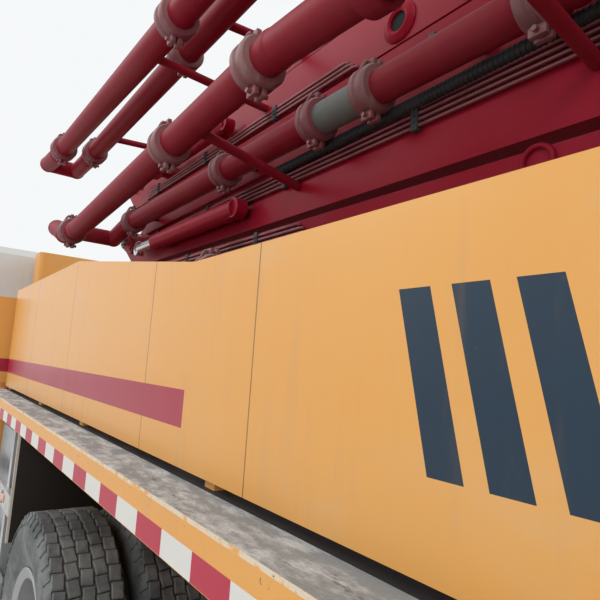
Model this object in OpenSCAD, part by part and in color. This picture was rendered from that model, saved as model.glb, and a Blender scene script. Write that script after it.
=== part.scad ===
// Four-axle lorry with a concrete pump and a folded five-arm placing boom.
// Millimetres, +X forward, +Y to the left, +Z up, origin on the ground under the middle.
// Places along the truck are stations: the distance behind the front bumper.

/* [Lorry] */
// Length over everything
total_length = 12600; // [12400:50:13000]
// Width over the twin tyres and the ledges
body_width = 2500; // [2450:10:2550]
// Station of the first steered axle
axle_1 = 1450; // [1430:10:1480]
// Station of the second steered axle
axle_2 = 3450; // [3420:10:3480]
// Station of the first driven axle
axle_3 = 7300; // [7250:10:7350]
// Station of the second driven axle
axle_4 = 8650; // [8620:10:8700]
// Radius of a tyre
tyre_r = 520; // [505:5:525]
// Width of a tyre
tyre_w = 285; // [270:5:295]
// Radius of the rim's bead
rim_r = 292; // [285:1:300]
// Distance between the two tyres of a twin wheel
twin_pitch = 335; // [330:5:345]
// Height of a frame rail
rail_h = 280; // [260:10:300]
// Top of the frame rails
rail_top = 1020; // [1000:5:1030]
// Outside width over the frame rails
rail_span = 860; // [820:10:880]
// Distance of a steering pivot from the middle of its wheel
king_offset = 190; // [180:5:200]

/* [Cab] */
// Width of the cab
cab_w = 2400; // [2360:10:2420]
// Underside of the cab
cab_z = 1150; // [1140:5:1160]
// Top of the cab's roof
cab_top = 2950; // [2900:10:3000]
// Station of the cab's rear wall
cab_rear = 2300; // [2260:10:2330]
// Thickness of the cab's walls and doors
cab_wall = 60; // [50:5:70]
// Thickness of the window glass
glass_t = 8; // [5:1:10]
// Station of the door's front edge
door_front = 330; // [320:10:350]
// Station of the door's rear edge
door_rear = 1330; // [1300:10:1360]

/* [Body] */
// Top of the walk-on ledges
ledge_z = 1400; // [1380:5:1420]
// Width of the ledge outside the panel
ledge_w = 130; // [110:5:150]
// Height of the upper band of the fascia
fascia_band = 55; // [50:1:60]
// Height of the reflective tape band
tape_h = 55; // [50:1:60]
// Station where the side panels start
panel_front = 5150; // [5120:10:5200]
// Station where the side panels end
panel_rear = 11200; // [11100:10:11300]
// Top of the front stretch of the panels
panel_high = 2140; // [2110:10:2160]
// Top of the rear stretch of the panels
panel_low = 1970; // [1930:10:2000]
// Station where the panels' top edge starts to fall
ramp_front = 7000; // [6900:10:7100]
// Station where the panels' top edge stops falling
ramp_rear = 8350; // [8250:10:8450]
// Thickness of the side panels
panel_t = 25; // [20:1:30]
// Gap between the panel's lower edge and the ledge
panel_gap = 20; // [10:1:25]

/* [Boom] */
// Station of the slewing axis
slew_s = 3750; // [3730:10:3770]
// Station of the boom's root pivot
pivot_a_s = 3500; // [3480:10:3520]
// Height of the boom's root pivot
pivot_a_z = 2260; // [2240:10:2280]
// Station and height of the pivot between arms 1 and 2
pivot_b = [11600, 2445]; // [2000:1:13000]
// Station and height of the pivot between arms 2 and 3
pivot_c = [4700, 2775]; // [2000:1:13000]
// Station and height of the pivot between arms 3 and 4
pivot_d = [11350, 3215]; // [2000:1:13000]
// Station and height of the pivot between arms 4 and 5
pivot_e = [4350, 3440]; // [2000:1:13000]
// Widths of the five arms
arm_w = [480, 400, 340, 280, 220]; // [200:10:500]
// Radius of the pins at the boom's joints
pin_r = 50; // [40:1:55]
// Outside radius of the delivery pipe
pipe_r = 70; // [62:1:75]
// Radius of the flanges at the pipe's couplings
coupling_r = 92; // [85:1:98]
// Distances of the arms' delivery pipes to the left of the middle
pipe_y = [560, 820, 330, 900, 650]; // [280:10:950]

/* [Support legs] */
// Station of the front legs' hinge
front_leg_s = 3080; // [3060:10:3100]
// Station of the front legs' jacks
front_jack_s = 4870; // [4850:10:4900]
// Station of the rear legs' hinge
rear_leg_s = 9560; // [9540:10:9600]
// Station of the rear legs' jacks
rear_jack_s = 11050; // [11000:10:11100]
// Width of a leg's box
leg_w = 230; // [220:5:240]
// Distance of a leg's middle line from the middle of the truck
leg_y = 1090; // [1080:5:1095]
// Outside radius of a jack's tube
jack_r = 85; // [80:1:90]
// Radius of a jack's foot
foot_r = 150; // [140:5:155]

/* [Fits] */
// Clearance between pieces that lie on each other
seat = 0.3; // [0.2:0.05:0.5]
// Radial clearance of a pin or rod in its hole
fit = 0.3; // [0.2:0.05:0.5]
// Clearance between moving pieces
gap = 8; // [6:1:10]
// Smoothness of round shapes
$fn = 48; // [32:4:96]

/* [Hidden] */

orange = [0.90, 0.62, 0.27];
crimson = [0.62, 0.10, 0.18];
pipe_red = [0.55, 0.14, 0.18];
dark = [0.13, 0.13, 0.14];
grey = [0.45, 0.46, 0.47];
steel = [0.70, 0.70, 0.72];
cab_white = [0.90, 0.90, 0.88];

half_w = body_width / 2;
tilt_axis = [200, 1100];
panel_y = half_w - ledge_w;
axle_z = tyre_r;
rail_bottom = rail_top - rail_h;
rail_y = rail_span / 2;
steer_y = half_w - tyre_w / 2 - 20;
king_y = steer_y - king_offset;
twin_outer = half_w - tyre_w / 2;
twin_inner = twin_outer - twin_pitch;
leg_front_z = [1440, 1960];
leg_front_top = 2090;
frame_front = 120;
leg_rear_z = [760, 1120];

// A station as an X coordinate
function X(s) = total_length / 2 - s;

// A block between stations a and b, sides c and d, heights e and f
module block(a, b, c, d, e, f) {
    translate([X(b), c, e]) cube([b - a, d - c, f - e]);
}

// A plate cut to a side outline of [station, height] points, between sides c and d
module side_plate(points, c, d) {
    translate([0, d, 0]) rotate([90, 0, 0]) linear_extrude(d - c)
        polygon([for (p = points) [X(p[0]), p[1]]]);
}

// A round bar along Y at station s and height z
module across(s, z, c, d, r) {
    translate([X(s), d, z]) rotate([90, 0, 0]) cylinder(h = d - c, r = r);
}

// A round bar along X between two stations
module along(a, b, y, z, r) {
    translate([X(b), y, z]) rotate([0, 90, 0]) cylinder(h = b - a, r = r);
}

// An upright round bar
module upright(s, y, e, f, r) {
    translate([X(s), y, e]) cylinder(h = f - e, r = r);
}

// A round bar between two points of [station, side, height]
module bar(p, q, r) {
    aim(p, q) cylinder(h = norm(q - p), r = r);
}

// Its children at a point of [station, side, height], with their Z axis towards another
module aim(p, q) {
    v = [p[0] - q[0], q[1] - p[1], q[2] - p[2]];
    translate([X(p[0]), p[1], p[2]]) rotate([0, acos(v[2] / norm(v)), atan2(v[1], v[0])]) children();
}

// The same shape on both sides
module both() {
    children();
    mirror([0, 1, 0]) children();
}

// A plate cut to a front outline of [side, height] points, between stations a and b
module front_plate(points, a, b) {
    translate([X(b), 0, 0]) rotate([90, 0, 90]) linear_extrude(b - a) polygon(points);
}

// An upright block with rounded corners, seen from above
module round_block(a, b, c, d, e, f, r) {
    translate([0, 0, e]) linear_extrude(f - e) union() {
        translate([X(b) + r, c]) square([b - a - 2 * r, d - c]);
        translate([X(b), c + r]) square([b - a, d - c - 2 * r]);
        for (x = [X(b) + r, X(a) - r], y = [c + r, d - r]) translate([x, y]) circle(r);
    }
}

// Two channel rails, open inwards, with tubular cross members
module chassis_frame() {
    flange = 75;
    web = 9;
    front = frame_front;
    rear = 11300;
    cross_members = [200, 2620, 4700, 6300, 7975, 9500, 11150];
    color(dark) union() {
        both() {
            block(front, rear, rail_y - web, rail_y, rail_bottom, rail_top);
            block(front, rear, rail_y - flange, rail_y, rail_top - web, rail_top);
            block(front, rear, rail_y - flange, rail_y, rail_bottom, rail_bottom + web);
        }
        both() {
            block(tilt_axis[0] - 35, tilt_axis[0] + 35, 348, 388, rail_top - 5, tilt_axis[1]);
            across(tilt_axis[0], tilt_axis[1], 348, 388, 35);
            across(tilt_axis[0], tilt_axis[1], 296, 388, 20);
            block(cab_rear - 100, cab_rear - 20, 350, rail_y - 2, rail_top - 5, cab_z - seat);
        }
        for (s = cross_members) across(s, rail_top - 110, -rail_y + web / 2, rail_y - web / 2, 60);
    }
}

// Engine and gearbox as one plain block each, joined
module engine() {
    color(grey) union() {
        block(720, 2120, -320, 320, 560, 1090);
        both() for (s = [950, 1900]) block(s, s + 90, 300, rail_y - 9 - seat, 800, 880);
        along(2100, 2500, 0, 760, 210);
    }
}

// Beam of a steered axle: dropped in the middle, with a boss and a pin at each end
module steered_beam(s) {
    eye = 55;
    drop = [for (side = [1, -1]) for (p = side > 0 ? [[king_y, 570], [620, 570], [520, 480]]
        : [[520, 480], [620, 570], [king_y, 570]]) [side * p[0], p[1]]];
    under = [for (side = [-1, 1]) for (p = side < 0 ? [[king_y, 475], [650, 475], [550, 385]]
        : [[550, 385], [650, 475], [king_y, 475]]) [side * p[0], p[1]]];
    front_plate(concat(drop, under), s - 45, s + 45);
    both() {
        upright(s, king_y, 475, 570, eye);
        upright(s, king_y, 405, 640, 25);
        block(s - 60, s + 60, 335, 415, 470, 580);
    }
    for (y = [-415, 335]) side_plate([[s - 700, 700], [s, 580], [s + 700, 700], [s + 700, rail_bottom],
        [s + 620, rail_bottom], [s, 660], [s - 620, rail_bottom], [s - 700, rail_bottom]], y, y + 80);
}

// Tube of a driven axle with its final drive, brakes and spindles
module driven_axle(s) {
    spindle = half_w - 130;
    across(s, axle_z, -560, 560, 75);
    across(s, axle_z, -spindle, spindle, 58);
    both() across(s, axle_z, 500, 615, 200);
    across(s, axle_z, -140, 140, 215);
    along(s - 300, s + 60, 0, axle_z + 40, 110);
    both() block(s - 60, s + 60, 335, 415, 560, 625);
}

module axles() {
    mid = (axle_3 + axle_4) / 2;
    color(dark) union() {
        for (s = [axle_1, axle_2]) steered_beam(s);
        for (s = [axle_3, axle_4]) driven_axle(s);
        for (y = [-415, 335]) side_plate([[axle_3 - 80, 615], [mid, 668], [axle_4 + 80, 615],
            [axle_4 + 80, 655], [mid + 250, rail_bottom], [mid - 250, rail_bottom],
            [axle_3 - 80, 655]], y, y + 80);
        bar([axle_3 + 40, 0, axle_z + 40], [axle_4 - 250, 0, axle_z + 40], 50);
        bar([2510, 0, 740], [axle_3 - 250, 0, axle_z + 45], 55);
    }
}

// Fork round the beam's boss with the spindle that carries a front wheel; left side
module knuckle(s) {
    arm = 200;
    color(dark) difference() {
        union() {
            for (z = [[410, 467], [578, 635]]) {
                upright(s, king_y, z[0], z[1], 52);
                block(s - 52, s + 52, king_y, king_y + 100, z[0], z[1]);
            }
            block(s - 52, s + 52, king_y + 65, king_y + 100, 410, 635);
            across(s, axle_z, king_y + 80, steer_y + 60, 40);
            block(s - arm, s, king_y - 30, king_y + 20, 410, 440);
        }
        upright(s, king_y, 400, 645, 25 + fit);
        block(s - 60, s + 60, king_y - 60, king_y + 65, 467, 578);
    }
}

// Section of a tyre as [radius, distance from its middle] with three grooves in the tread
function tyre_section(w) = let(
    side = [[rim_r, 0.36], [rim_r + 18, 0.42], [rim_r + 100, 0.5], [tyre_r - 75, 0.49],
        [tyre_r - 14, 0.45], [tyre_r, 0.41]],
    grooves = [for (g = [1, 0, -1]) for (p = [[0, 0.035], [14, 0.025], [14, -0.025], [0, -0.035]])
        [tyre_r - p[0], 0.2 * g + p[1]]])
    [for (p = concat(side, grooves, [for (i = [len(side) - 1:-1:0]) [side[i][0], -side[i][1]]]))
        [p[0], p[1] * w]];

// A tyre on its rim with a pierced disc; disc is where the disc stands, off the tyre's middle
module tyre_on_rim(disc) {
    rim_t = 22;
    color(dark) rotate_extrude($fn = 72) polygon(tyre_section(tyre_w));
    color(steel) difference() {
        rotate_extrude($fn = 72) polygon([[rim_r + 2, -0.38 * tyre_w], [rim_r + 2, 0.38 * tyre_w],
            [rim_r - rim_t, 0.38 * tyre_w], [rim_r - rim_t, disc + 8], [170, disc + 8], [120, disc - 30],
            [60, disc - 30], [60, disc - 44], [126, disc - 44], [176, disc - 8],
            [rim_r - rim_t, disc - 8], [rim_r - rim_t, -0.38 * tyre_w]]);
        for (a = [0:36:324]) rotate(a) translate([215, 0, disc - 20]) cylinder(h = 40, r = 26);
    }
}

// A steered wheel on its spindle, left side
module steered_wheel(s) {
    translate([X(s), steer_y, axle_z]) rotate([-90, 0, 0]) difference() {
        union() {
            tyre_on_rim(70);
            color(dark) translate([0, 0, -60]) cylinder(h = 150, r = 118);
            color(dark) translate([0, 0, 80]) cylinder(h = 50, r = 75);
        }
        translate([0, 0, -70]) cylinder(h = 140, r = 40 + fit);
    }
}

// A twin wheel, left side
module twin_wheel(s) {
    hub_in = -twin_pitch / 2 - 0.45 * tyre_w;
    hub_out = twin_pitch / 2 + 60;
    translate([X(s), (twin_outer + twin_inner) / 2, axle_z]) rotate([-90, 0, 0]) difference() {
        union() {
            translate([0, 0, twin_pitch / 2]) mirror([0, 0, 1]) tyre_on_rim(120);
            translate([0, 0, -twin_pitch / 2]) tyre_on_rim(120);
            color(dark) translate([0, 0, hub_in]) cylinder(h = hub_out - hub_in, r = 118);
        }
        translate([0, 0, hub_in - 1]) cylinder(h = hub_out - hub_in - 40, r = 58 + fit);
    }
}

// Bumper with lamp recesses, a step at each side and the towing eye's plate
module bumper() {
    color(cab_white) difference() {
        round_block(0, 420, -cab_w / 2, cab_w / 2, 330, 940, 110);
        block(frame_front - seat, 430, -cab_w / 2 - 1, cab_w / 2 + 1, 320, 950);
        both() block(-1, 22, 760, 1060, 560, 740);
        block(-1, 12, -420, 420, 620, 820);
    }
    color(grey) both() {
        for (z = [470, 800]) block(frame_front - seat, 680, 900, 1180, z, z + 30);
        block(frame_front - seat, 680, 880, 905, 470, 940);
    }
    color(dark) both() block(frame_front - seat, 300, rail_y + seat, 905, 700, 760);
}

// The cab's outer form, between two sets of side outlines
module cab_form(points, inset) {
    intersection() {
        side_plate(points, -cab_w / 2 + inset, cab_w / 2 - inset);
        round_block(0 + inset, cab_rear + 100, -cab_w / 2 + inset, cab_w / 2 - inset,
            cab_z - 10, cab_top + 10, 160 - inset);
    }
}

screen_foot = [95, 2050];
screen_head = [235, 2700];
screen_half = 1050;
door_z = [cab_z + cab_wall, 2720];
window_z = [1990, 2600];
door_hinge = [door_front + 4, cab_w / 2 + 15];
hinge_z = [1400, 2480];

module cab_shell() {
    roof = cab_top;
    outside = [[60, cab_z], [60, 1700], screen_foot, screen_head, [300, roof - 90], [420, roof - 20],
        [560, roof], [cab_rear - 90, roof], [cab_rear, roof - 90], [cab_rear, cab_z]];
    w = cab_wall;
    inside = [[60 + w, cab_z + w], [60 + w, 1700], screen_foot + [w, 0], screen_head + [w, 0],
        [355, roof - 125], [440, roof - w - 20], [570, roof - w], [cab_rear - 100, roof - w],
        [cab_rear - w, roof - 110], [cab_rear - w, cab_z + w]];
    color(cab_white) difference() {
        union() {
            cab_form(outside, 0);
            both() for (z = [2120, 2640]) bar([300, cab_w / 2 - 40, z], [150, cab_w / 2 + 120, z], 14);
            both() round_block(90, 190, cab_w / 2 + 75, cab_w / 2 + 215, 2060, 2700, 30);
            both() block(560, 700, 700, 980, roof - 20, roof + 40);
            both() block(tilt_axis[0] - 30, tilt_axis[0] + 30, 300, 340, tilt_axis[1], cab_z + 10);
            both() across(tilt_axis[0], tilt_axis[1], 300, 340, 32);
            both() for (z = hinge_z) {
                for (k = [z - 30, z + 80 + seat]) {
                    block(door_hinge[0] - 60, door_hinge[0], cab_w / 2 - 5, door_hinge[1] + 8, k, k + 30 - seat);
                    upright(door_hinge[0], door_hinge[1], k, k + 30 - seat, 13);
                }
                upright(door_hinge[0], door_hinge[1], z - 20, z + 100, 7);
            }
        }
        cab_form(inside, w);
        side_plate([[-10, 2090], [screen_foot[0] + 130, 2090], [screen_head[0] + 130, 2660],
            [-10, 2660]], -screen_half, screen_half);
        block(cab_rear - w - 10, cab_rear + 10, -450, 450, 2150, 2600);
        both() block(door_front, door_rear, cab_w / 2 - w - 1, cab_w / 2 + 1, door_z[0], door_z[1]);
        both() block(1560, 2120, cab_w / 2 - w - 1, cab_w / 2 + 1, 2050, 2560);
        for (z = [1300:70:1860]) block(50, 75, -700, 700, z, z + 34);
        across(tilt_axis[0], tilt_axis[1], -500, 500, 20 + fit);
    }
}

// Windscreen, rear and side panes of the cab
module cab_glass() {
    lean = (screen_head[0] - screen_foot[0]) / (screen_head[1] - screen_foot[1]);
    low = screen_foot[0] + 25 + lean * (2090 + seat - screen_foot[1]);
    high = screen_foot[0] + 25 + lean * (2660 - seat - screen_foot[1]);
    color([0.2, 0.25, 0.3, 0.6]) {
        side_plate([[low, 2090 + seat], [low + glass_t, 2090 + seat], [high + glass_t, 2660 - seat],
            [high, 2660 - seat]], -screen_half + seat, screen_half - seat);
        block(cab_rear - 30, cab_rear - 30 + glass_t, -450 + seat, 450 - seat, 2150 + seat, 2600 - seat);
        both() block(1560 + seat, 2120 - seat, cab_w / 2 - 30, cab_w / 2 - 30 + glass_t,
            2050 + seat, 2560 - seat);
    }
}

// Dashboard with the steering wheel, seat boxes and the engine hump
module cab_interior() {
    floor_z = cab_z + cab_wall + seat;
    color(dark) {
        side_plate([[200, 1500], [200, 1930], [420, 1930], [620, 1850], [620, 1640], [480, 1500]],
            -1080, 1080);
        block(200, 300, -1000, 1000, floor_z, 1500);
        bar([560, 600, 1700], [760, 600, 1900], 30);
        translate([X(770), 600, 1910]) rotate([0, -45, 0]) rotate_extrude() translate([215, 0]) circle(15);
        translate([X(770), 600, 1910]) rotate([0, -45, 0]) for (a = [30, 150, 270])
            rotate(a) translate([0, -14, -8]) cube([215, 28, 16]);
        for (y = [-900, 340]) block(1150, 1640, y, y + 560, floor_z, 1480);
        block(900, 2100, -260, 260, floor_z, 1440);
    }
}

// Cushions and backs of the two seats
module seats() {
    color([0.16, 0.16, 0.18]) for (y = [-900, 340]) {
        round_block(1120, 1660, y + 10, y + 550, 1480 + seat, 1620, 60);
        side_plate([[1560, 1620 + seat], [1700, 1620 + seat], [1830, 2250], [1730, 2250]], y + 20, y + 540);
        side_plate([[1745, 2250 + seat], [1835, 2250 + seat], [1875, 2430], [1790, 2430]], y + 150, y + 410);
    }
}

// A door with its window cut and a handle; left side
module door() {
    color(cab_white) difference() {
        union() {
            block(door_front + gap, door_rear - gap, cab_w / 2 - cab_wall, cab_w / 2,
                door_z[0] + gap, door_z[1] - gap);
            block(door_rear - 240, door_rear - 90, cab_w / 2 - 10, cab_w / 2 + 28, 1760, 1800);
            for (z = hinge_z) {
                block(door_hinge[0] + 5, door_hinge[0] + 70, cab_w / 2 - 5, door_hinge[1] + 8, z, z + 80);
                upright(door_hinge[0], door_hinge[1], z, z + 80, 13);
            }
        }
        for (z = hinge_z) upright(door_hinge[0], door_hinge[1], z - 1, z + 81, 7 + fit);
        side_plate([[door_front + 70, window_z[0] + 60], [door_front + 170, window_z[1]],
            [door_rear - 80, window_z[1]], [door_rear - 80, window_z[0]],
            [door_front + 420, window_z[0]]], cab_w / 2 - cab_wall - 1, cab_w / 2 + 40);
    }
}

module door_glass() {
    color([0.2, 0.25, 0.3, 0.6]) side_plate([[door_front + 70.5, window_z[0] + 60],
        [door_front + 170.5, window_z[1] - seat], [door_rear - 80 - seat, window_z[1] - seat],
        [door_rear - 80 - seat, window_z[0] + seat], [door_front + 420, window_z[0] + seat]],
        cab_w / 2 - 34, cab_w / 2 - 34 + glass_t);
}

// Boom pedestal, subframe, hinge lugs of the legs and the boom rest
module substructure() {
    beam = [335, rail_y];
    rest_s = 10300;
    color(orange) difference() {
        union() {
            front_plate([[-rail_y, rail_top], [rail_y, rail_top], [600, 1240], [600, 1600],
                [-600, 1600], [-600, 1240]], 2960, 4380);
            translate([X(slew_s), 0, 1590]) cylinder(h = 60, r = 500);
            both() {
                block(4370, panel_rear, beam[0], beam[1], rail_top, ledge_z - 25);
                block(front_leg_s - 100, front_leg_s + 100, 600 + seat, leg_y - leg_w / 2 - 20,
                    leg_front_z[0] - 55, leg_front_z[1] + 50);
                for (z = [leg_front_z[0] - 55, leg_front_z[1] + gap]) {
                    block(front_leg_s - 100, front_leg_s + 100, 700, leg_y, z, z + 42);
                    upright(front_leg_s, leg_y, z, z + 42, 100);
                }
                block(rear_leg_s - 100, rear_leg_s + 100, beam[0], 700, rail_top, leg_rear_z[1] + 50);
                block(rear_leg_s - 100, rear_leg_s + 100, rail_y + seat, leg_y - leg_w / 2 - 20,
                    leg_rear_z[0] - 50, leg_rear_z[1] + 50);
                for (z = [leg_rear_z[0] - 50, leg_rear_z[1] + gap]) {
                    block(rear_leg_s - 100, rear_leg_s + 100, 700, leg_y, z, z + 42);
                    upright(rear_leg_s, leg_y, z, z + 42, 100);
                }
                upright(front_leg_s, leg_y, leg_front_z[0] - 55, leg_front_z[1] + 50, 40);
                upright(rear_leg_s, leg_y, leg_rear_z[0] - 50, leg_rear_z[1] + 50, 40);
            }
        }
        translate([X(slew_s), 0, 1560]) cylinder(h = 100, r = 330);
    }
    color(orange) union() {
        both() front_plate([[335, ledge_z - 25], [rail_y, ledge_z - 25], [300, 1900], [220, 1900]],
            rest_s - 60, rest_s + 60);
        block(rest_s - 80, rest_s + 80, -320, 320, 1890, 1980 - seat);
    }
}

// Water box behind the cab on two feet
module water_box() {
    color(orange) union() {
        round_block(2370, 2720, -620, 620, 1160, 2880, 60);
        both() block(2420, 2680, 350, rail_y, rail_top + seat, 1170);
    }
}

// Side decks with their fascias, and the walls of the rear wheel arches
module deck() {
    front = panel_front - 50;
    rear = panel_rear + 50;
    plate = 25;
    color(orange) both() union() {
        block(front, rear, rail_y + 20, half_w, ledge_z - plate, ledge_z);
        block(front, rear, half_w - 12, half_w, ledge_z - fascia_band - tape_h, ledge_z);
        for (s = [front, rear - 12]) block(s, s + 12, rail_y + 20, half_w, ledge_z - 110, ledge_z);
        block(front, rear, rail_y, rail_y + 30, ledge_z - 90, ledge_z);
    }
    color(orange) both() for (s = [axle_3 - 610, axle_4 + 590])
        block(s, s + 14, 620, half_w - 12 - seat, 760, ledge_z - plate - seat);
}

// Front mudguards on arms from the rails
module mudguards() {
    color(dark) both() for (s = [axle_1, axle_2]) union() {
        block(s - 650, s + 650, 880, half_w - 10, 1090, 1102);
        for (end = [-1, 1]) side_plate([[s + end * 650, 1102], [s + end * 662, 1102],
            [s + end * 712, 760], [s + end * 700, 760]], 880, half_w - 10);
        for (e = [-560, 560]) bar([s + e, rail_y + seat, 960], [s + e, rail_y + 140, 960], 18);
        for (e = [-560, 560]) bar([s + e, rail_y + 130, 960], [s + e, 900, 1096], 18);
    }
}

// Smooth side panels on posts, falling from a high front to a low rear
module side_panels() {
    low = ledge_z + panel_gap;
    posts = [5230, 6400, 7300, 8500, 9300, 10250, 11120];
    function top(s) = s < ramp_front ? panel_high : s > ramp_rear ? panel_low
        : panel_high + (panel_low - panel_high) * (s - ramp_front) / (ramp_rear - ramp_front);
    color(orange) both() union() {
        side_plate([[panel_front, low], [panel_front, panel_high], [ramp_front, panel_high],
            [ramp_rear, panel_low], [panel_rear, panel_low], [panel_rear, low]],
            panel_y - panel_t, panel_y);
        for (s = posts) block(s, s + 50, panel_y - panel_t - 45, panel_y - panel_t / 2, ledge_z, top(s + 50) - 40);
        for (s = [panel_front, panel_rear - 20])
            block(s, s + 20, panel_y - 160, panel_y - panel_t / 2, low, top(s + 20));
    }
}

// Two rails on posts below each ledge, and a ladder at the front of the left side
module side_guards() {
    a = panel_front + 60;
    b = 6660;
    out = half_w - 15;
    color(steel) both() union() {
        for (z = [[450, 560], [870, 970]]) block(a, b, out - 25, out, z[0], z[1]);
        for (s = [a + 120, b - 260])
            block(s, s + 60, out - 75, out - 20, 450, ledge_z - 25);
    }
}

// Fuel tank, water tank, battery box and silencer, each on brackets at the frame
module tanks() {
    module tank(a, b, c, d, e, f) {
        round_block(a, b, c, d, e, f, 70);
        for (s = [a + 120, b - 180]) block(s, s + 60, rail_y + seat, c + 80, e + 120, e + 180);
    }
    color(grey) tank(5330, 6450, 560, 1130, 560, 1180);
    color(grey) mirror([0, 1, 0]) tank(5330, 6450, 560, 1130, 560, 1180);
    color(dark) tank(2370, 2690, 520, 1150, 640, 1080);
    color(steel) mirror([0, 1, 0]) tank(2370, 2690, 520, 1150, 640, 1080);
}

hopper_rear = total_length;
hopper_front = hopper_rear - 1200;
hopper_half = 740;
hopper_top = 1450;
hopper_wall = 10;
mixer = [hopper_front + 560, 1000];
grate_hinge = [hopper_rear - 45, hopper_top + 32];

// Open hopper with sloping walls, its rim and the bearings of the mixing shaft
module hopper() {
    function outline(w) = [[hopper_front + w, hopper_top + (w > 0 ? 50 : 0)], [hopper_front + w, 1050],
        [hopper_front + 230 + w / 2, 700 + w], [hopper_rear - 270 - w / 2, 700 + w],
        [hopper_rear - 40 - w, 1250],
        [hopper_rear - 40 - w, hopper_top + (w > 0 ? 50 : 0)]];
    color(grey) difference() {
        union() {
            side_plate(outline(0), -hopper_half, hopper_half);
            block(hopper_front, hopper_rear, -hopper_half - 30, hopper_half + 30, hopper_top - 60, hopper_top);
            both() across(mixer[0], mixer[1], hopper_half - 5, hopper_half + 45, 80);
            both() block(hopper_front - 100 + seat, hopper_front + 5, rail_y - 80, rail_y - 5, 780, 1000);
            both() block(hopper_rear - 90, hopper_rear, 640, 700, hopper_top - 20, hopper_top + 55);
        }
        side_plate(outline(hopper_wall), -hopper_half + hopper_wall, hopper_half - hopper_wall);
        block(hopper_front + 60, hopper_rear - 95, -hopper_half + 20, hopper_half - 20,
            hopper_top - 70, hopper_top + 60);
        across(mixer[0], mixer[1], -hopper_half - 60, hopper_half + 60, 35 + fit);
        across(grate_hinge[0], grate_hinge[1], -720, 720, 14 + fit);
    }
}

// Grate over the hopper: a frame with bars on a hinge rod
module hopper_grate() {
    z = hopper_top + seat;
    half = 620;
    front = hopper_front + 20;
    rear = hopper_rear - 110;
    color(dark) union() {
        both() block(front, rear, half - 40, half, z, z + 40);
        for (s = [front, rear - 40]) block(s, s + 40, -half, half, z, z + 40);
        for (y = [-540:108:540]) block(front, rear, y - 6, y + 6, z + 4, z + 36);
        for (s = [front + 260:260:rear - 200]) block(s, s + 12, -half, half, z + 8, z + 32);
        both() block(rear - 10, grate_hinge[0] + 14, 540, 600, z + 10, z + 40);
        across(grate_hinge[0], grate_hinge[1], -710, 710, 14);
    }
}

// Shaft with mixing paddles
module agitator() {
    color(dark) union() {
        across(mixer[0], mixer[1], -hopper_half - 70, hopper_half + 70, 35);
        for (i = [0:5]) translate([X(mixer[0]), -550 + i * 220, mixer[1]]) rotate([0, i * 60, 0]) {
            translate([-20, -15, 0]) cube([40, 30, 200]);
            rotate([0, 0, 25]) translate([-9, -65, 150]) cube([18, 130, 60]);
        }
    }
}

// Twin pump: drive cylinders, water box and delivery cylinders up to the hopper
module pump_unit() {
    color(grey) union() {
        both() {
            along(7600, 9200, 160, 1250, 85);
            along(9100, hopper_front - 100, 160, 1250, 130);
            for (s = [7620, 9080, 9560, hopper_front - 160]) along(s, s + 50, 160, 1250, 155);
            block(8900, 8960, 0, 335 - seat, 1180, 1320);
            block(10800, 10860, 0, 335 - seat, 1180, 1320);
        }
        round_block(9120, 9540, -325, 325, 1060, 1450, 30);
        along(hopper_front - 110, hopper_front - seat, 0, 1200, 250);
    }
}

lift_foot = [4150, 1800];
lift_eye = [5500, 1900];
lift_reach = norm(lift_eye - lift_foot);
lift_pin = 40;
lift_rod_r = 60;
lift_barrel_l = 1130;
lift_barrel_r = 90;
lift_neck = 125;
turret_floor = 1710;
cheek = [arm_w[0] / 2 + gap, arm_w[0] / 2 + gap + 50];
root_pin = 60;
weld = 4;
bracket_r = 24;

// The point at a distance along the lift cylinder
function lift_at(d) = let(p = lift_foot + d / lift_reach * (lift_eye - lift_foot)) [p[0], 0, p[1]];

// A flat bar with round ends about two points of [station, height]
module link(p, q, r, t, c, d) {
    n = [p[1] - q[1], q[0] - p[0]] / norm(q - p);
    across(p[0], p[1], c, d, r);
    across(q[0], q[1], c, d, t);
    side_plate([p + n * r, q + n * t, q - n * t, p - n * r], c, d);
}

// The ball at a pipe's bend q, with its poles on the line of the pipe that comes from p
module elbow(p, q) {
    aim(q, p) rotate(33) sphere(pipe_r + weld);
}

// A round pipe through points of [station, side, height]
module pipe_run(path) {
    for (i = [0:len(path) - 2]) bar(path[i], path[i + 1], pipe_r);
    for (i = [1:len(path) - 2]) elbow(path[i - 1], path[i]);
}

// Slewing column: ring plate, two cheeks with the boom's root pin, lift cylinder lugs, riser pipe
module turret() {
    riser_y = swivel_y[0] - 80;
    color(crimson) union() {
        translate([X(slew_s), 0, 1650 + seat]) cylinder(h = turret_floor - 1650 - seat, r = 480);
        block(4000, 4290, -cheek[1], cheek[1], turret_floor - 40, turret_floor);
        both() {
            side_plate([[3300, turret_floor - 10], [3395, 2290], [3600, 2320], [3900, 2050], [4290, 1850],
                [4290, turret_floor - 10]], cheek[0], cheek[1]);
            across(pivot_a_s, pivot_a_z, cheek[0], cheek[1], 115);
            side_plate([[4020, turret_floor - 10], [4080, 1850], [4220, 1850], [4280, turret_floor - 10]],
                75, 115);
            across(lift_foot[0], lift_foot[1], 75, 115, 80);
        }
        across(lift_foot[0], lift_foot[1], -115, 115, lift_pin);
        across(pivot_a_s, pivot_a_z, -cheek[1] - 5, cheek[1] + 5, root_pin);
    }
    color(pipe_red) union() {
        pipe_run([[pivot_a_s, riser_y + 60, pivot_a_z], [pivot_a_s, riser_y, pivot_a_z],
            [pivot_a_s, riser_y, turret_floor + 60], [slew_s, 0, turret_floor + 20]]);
    }
}

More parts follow.
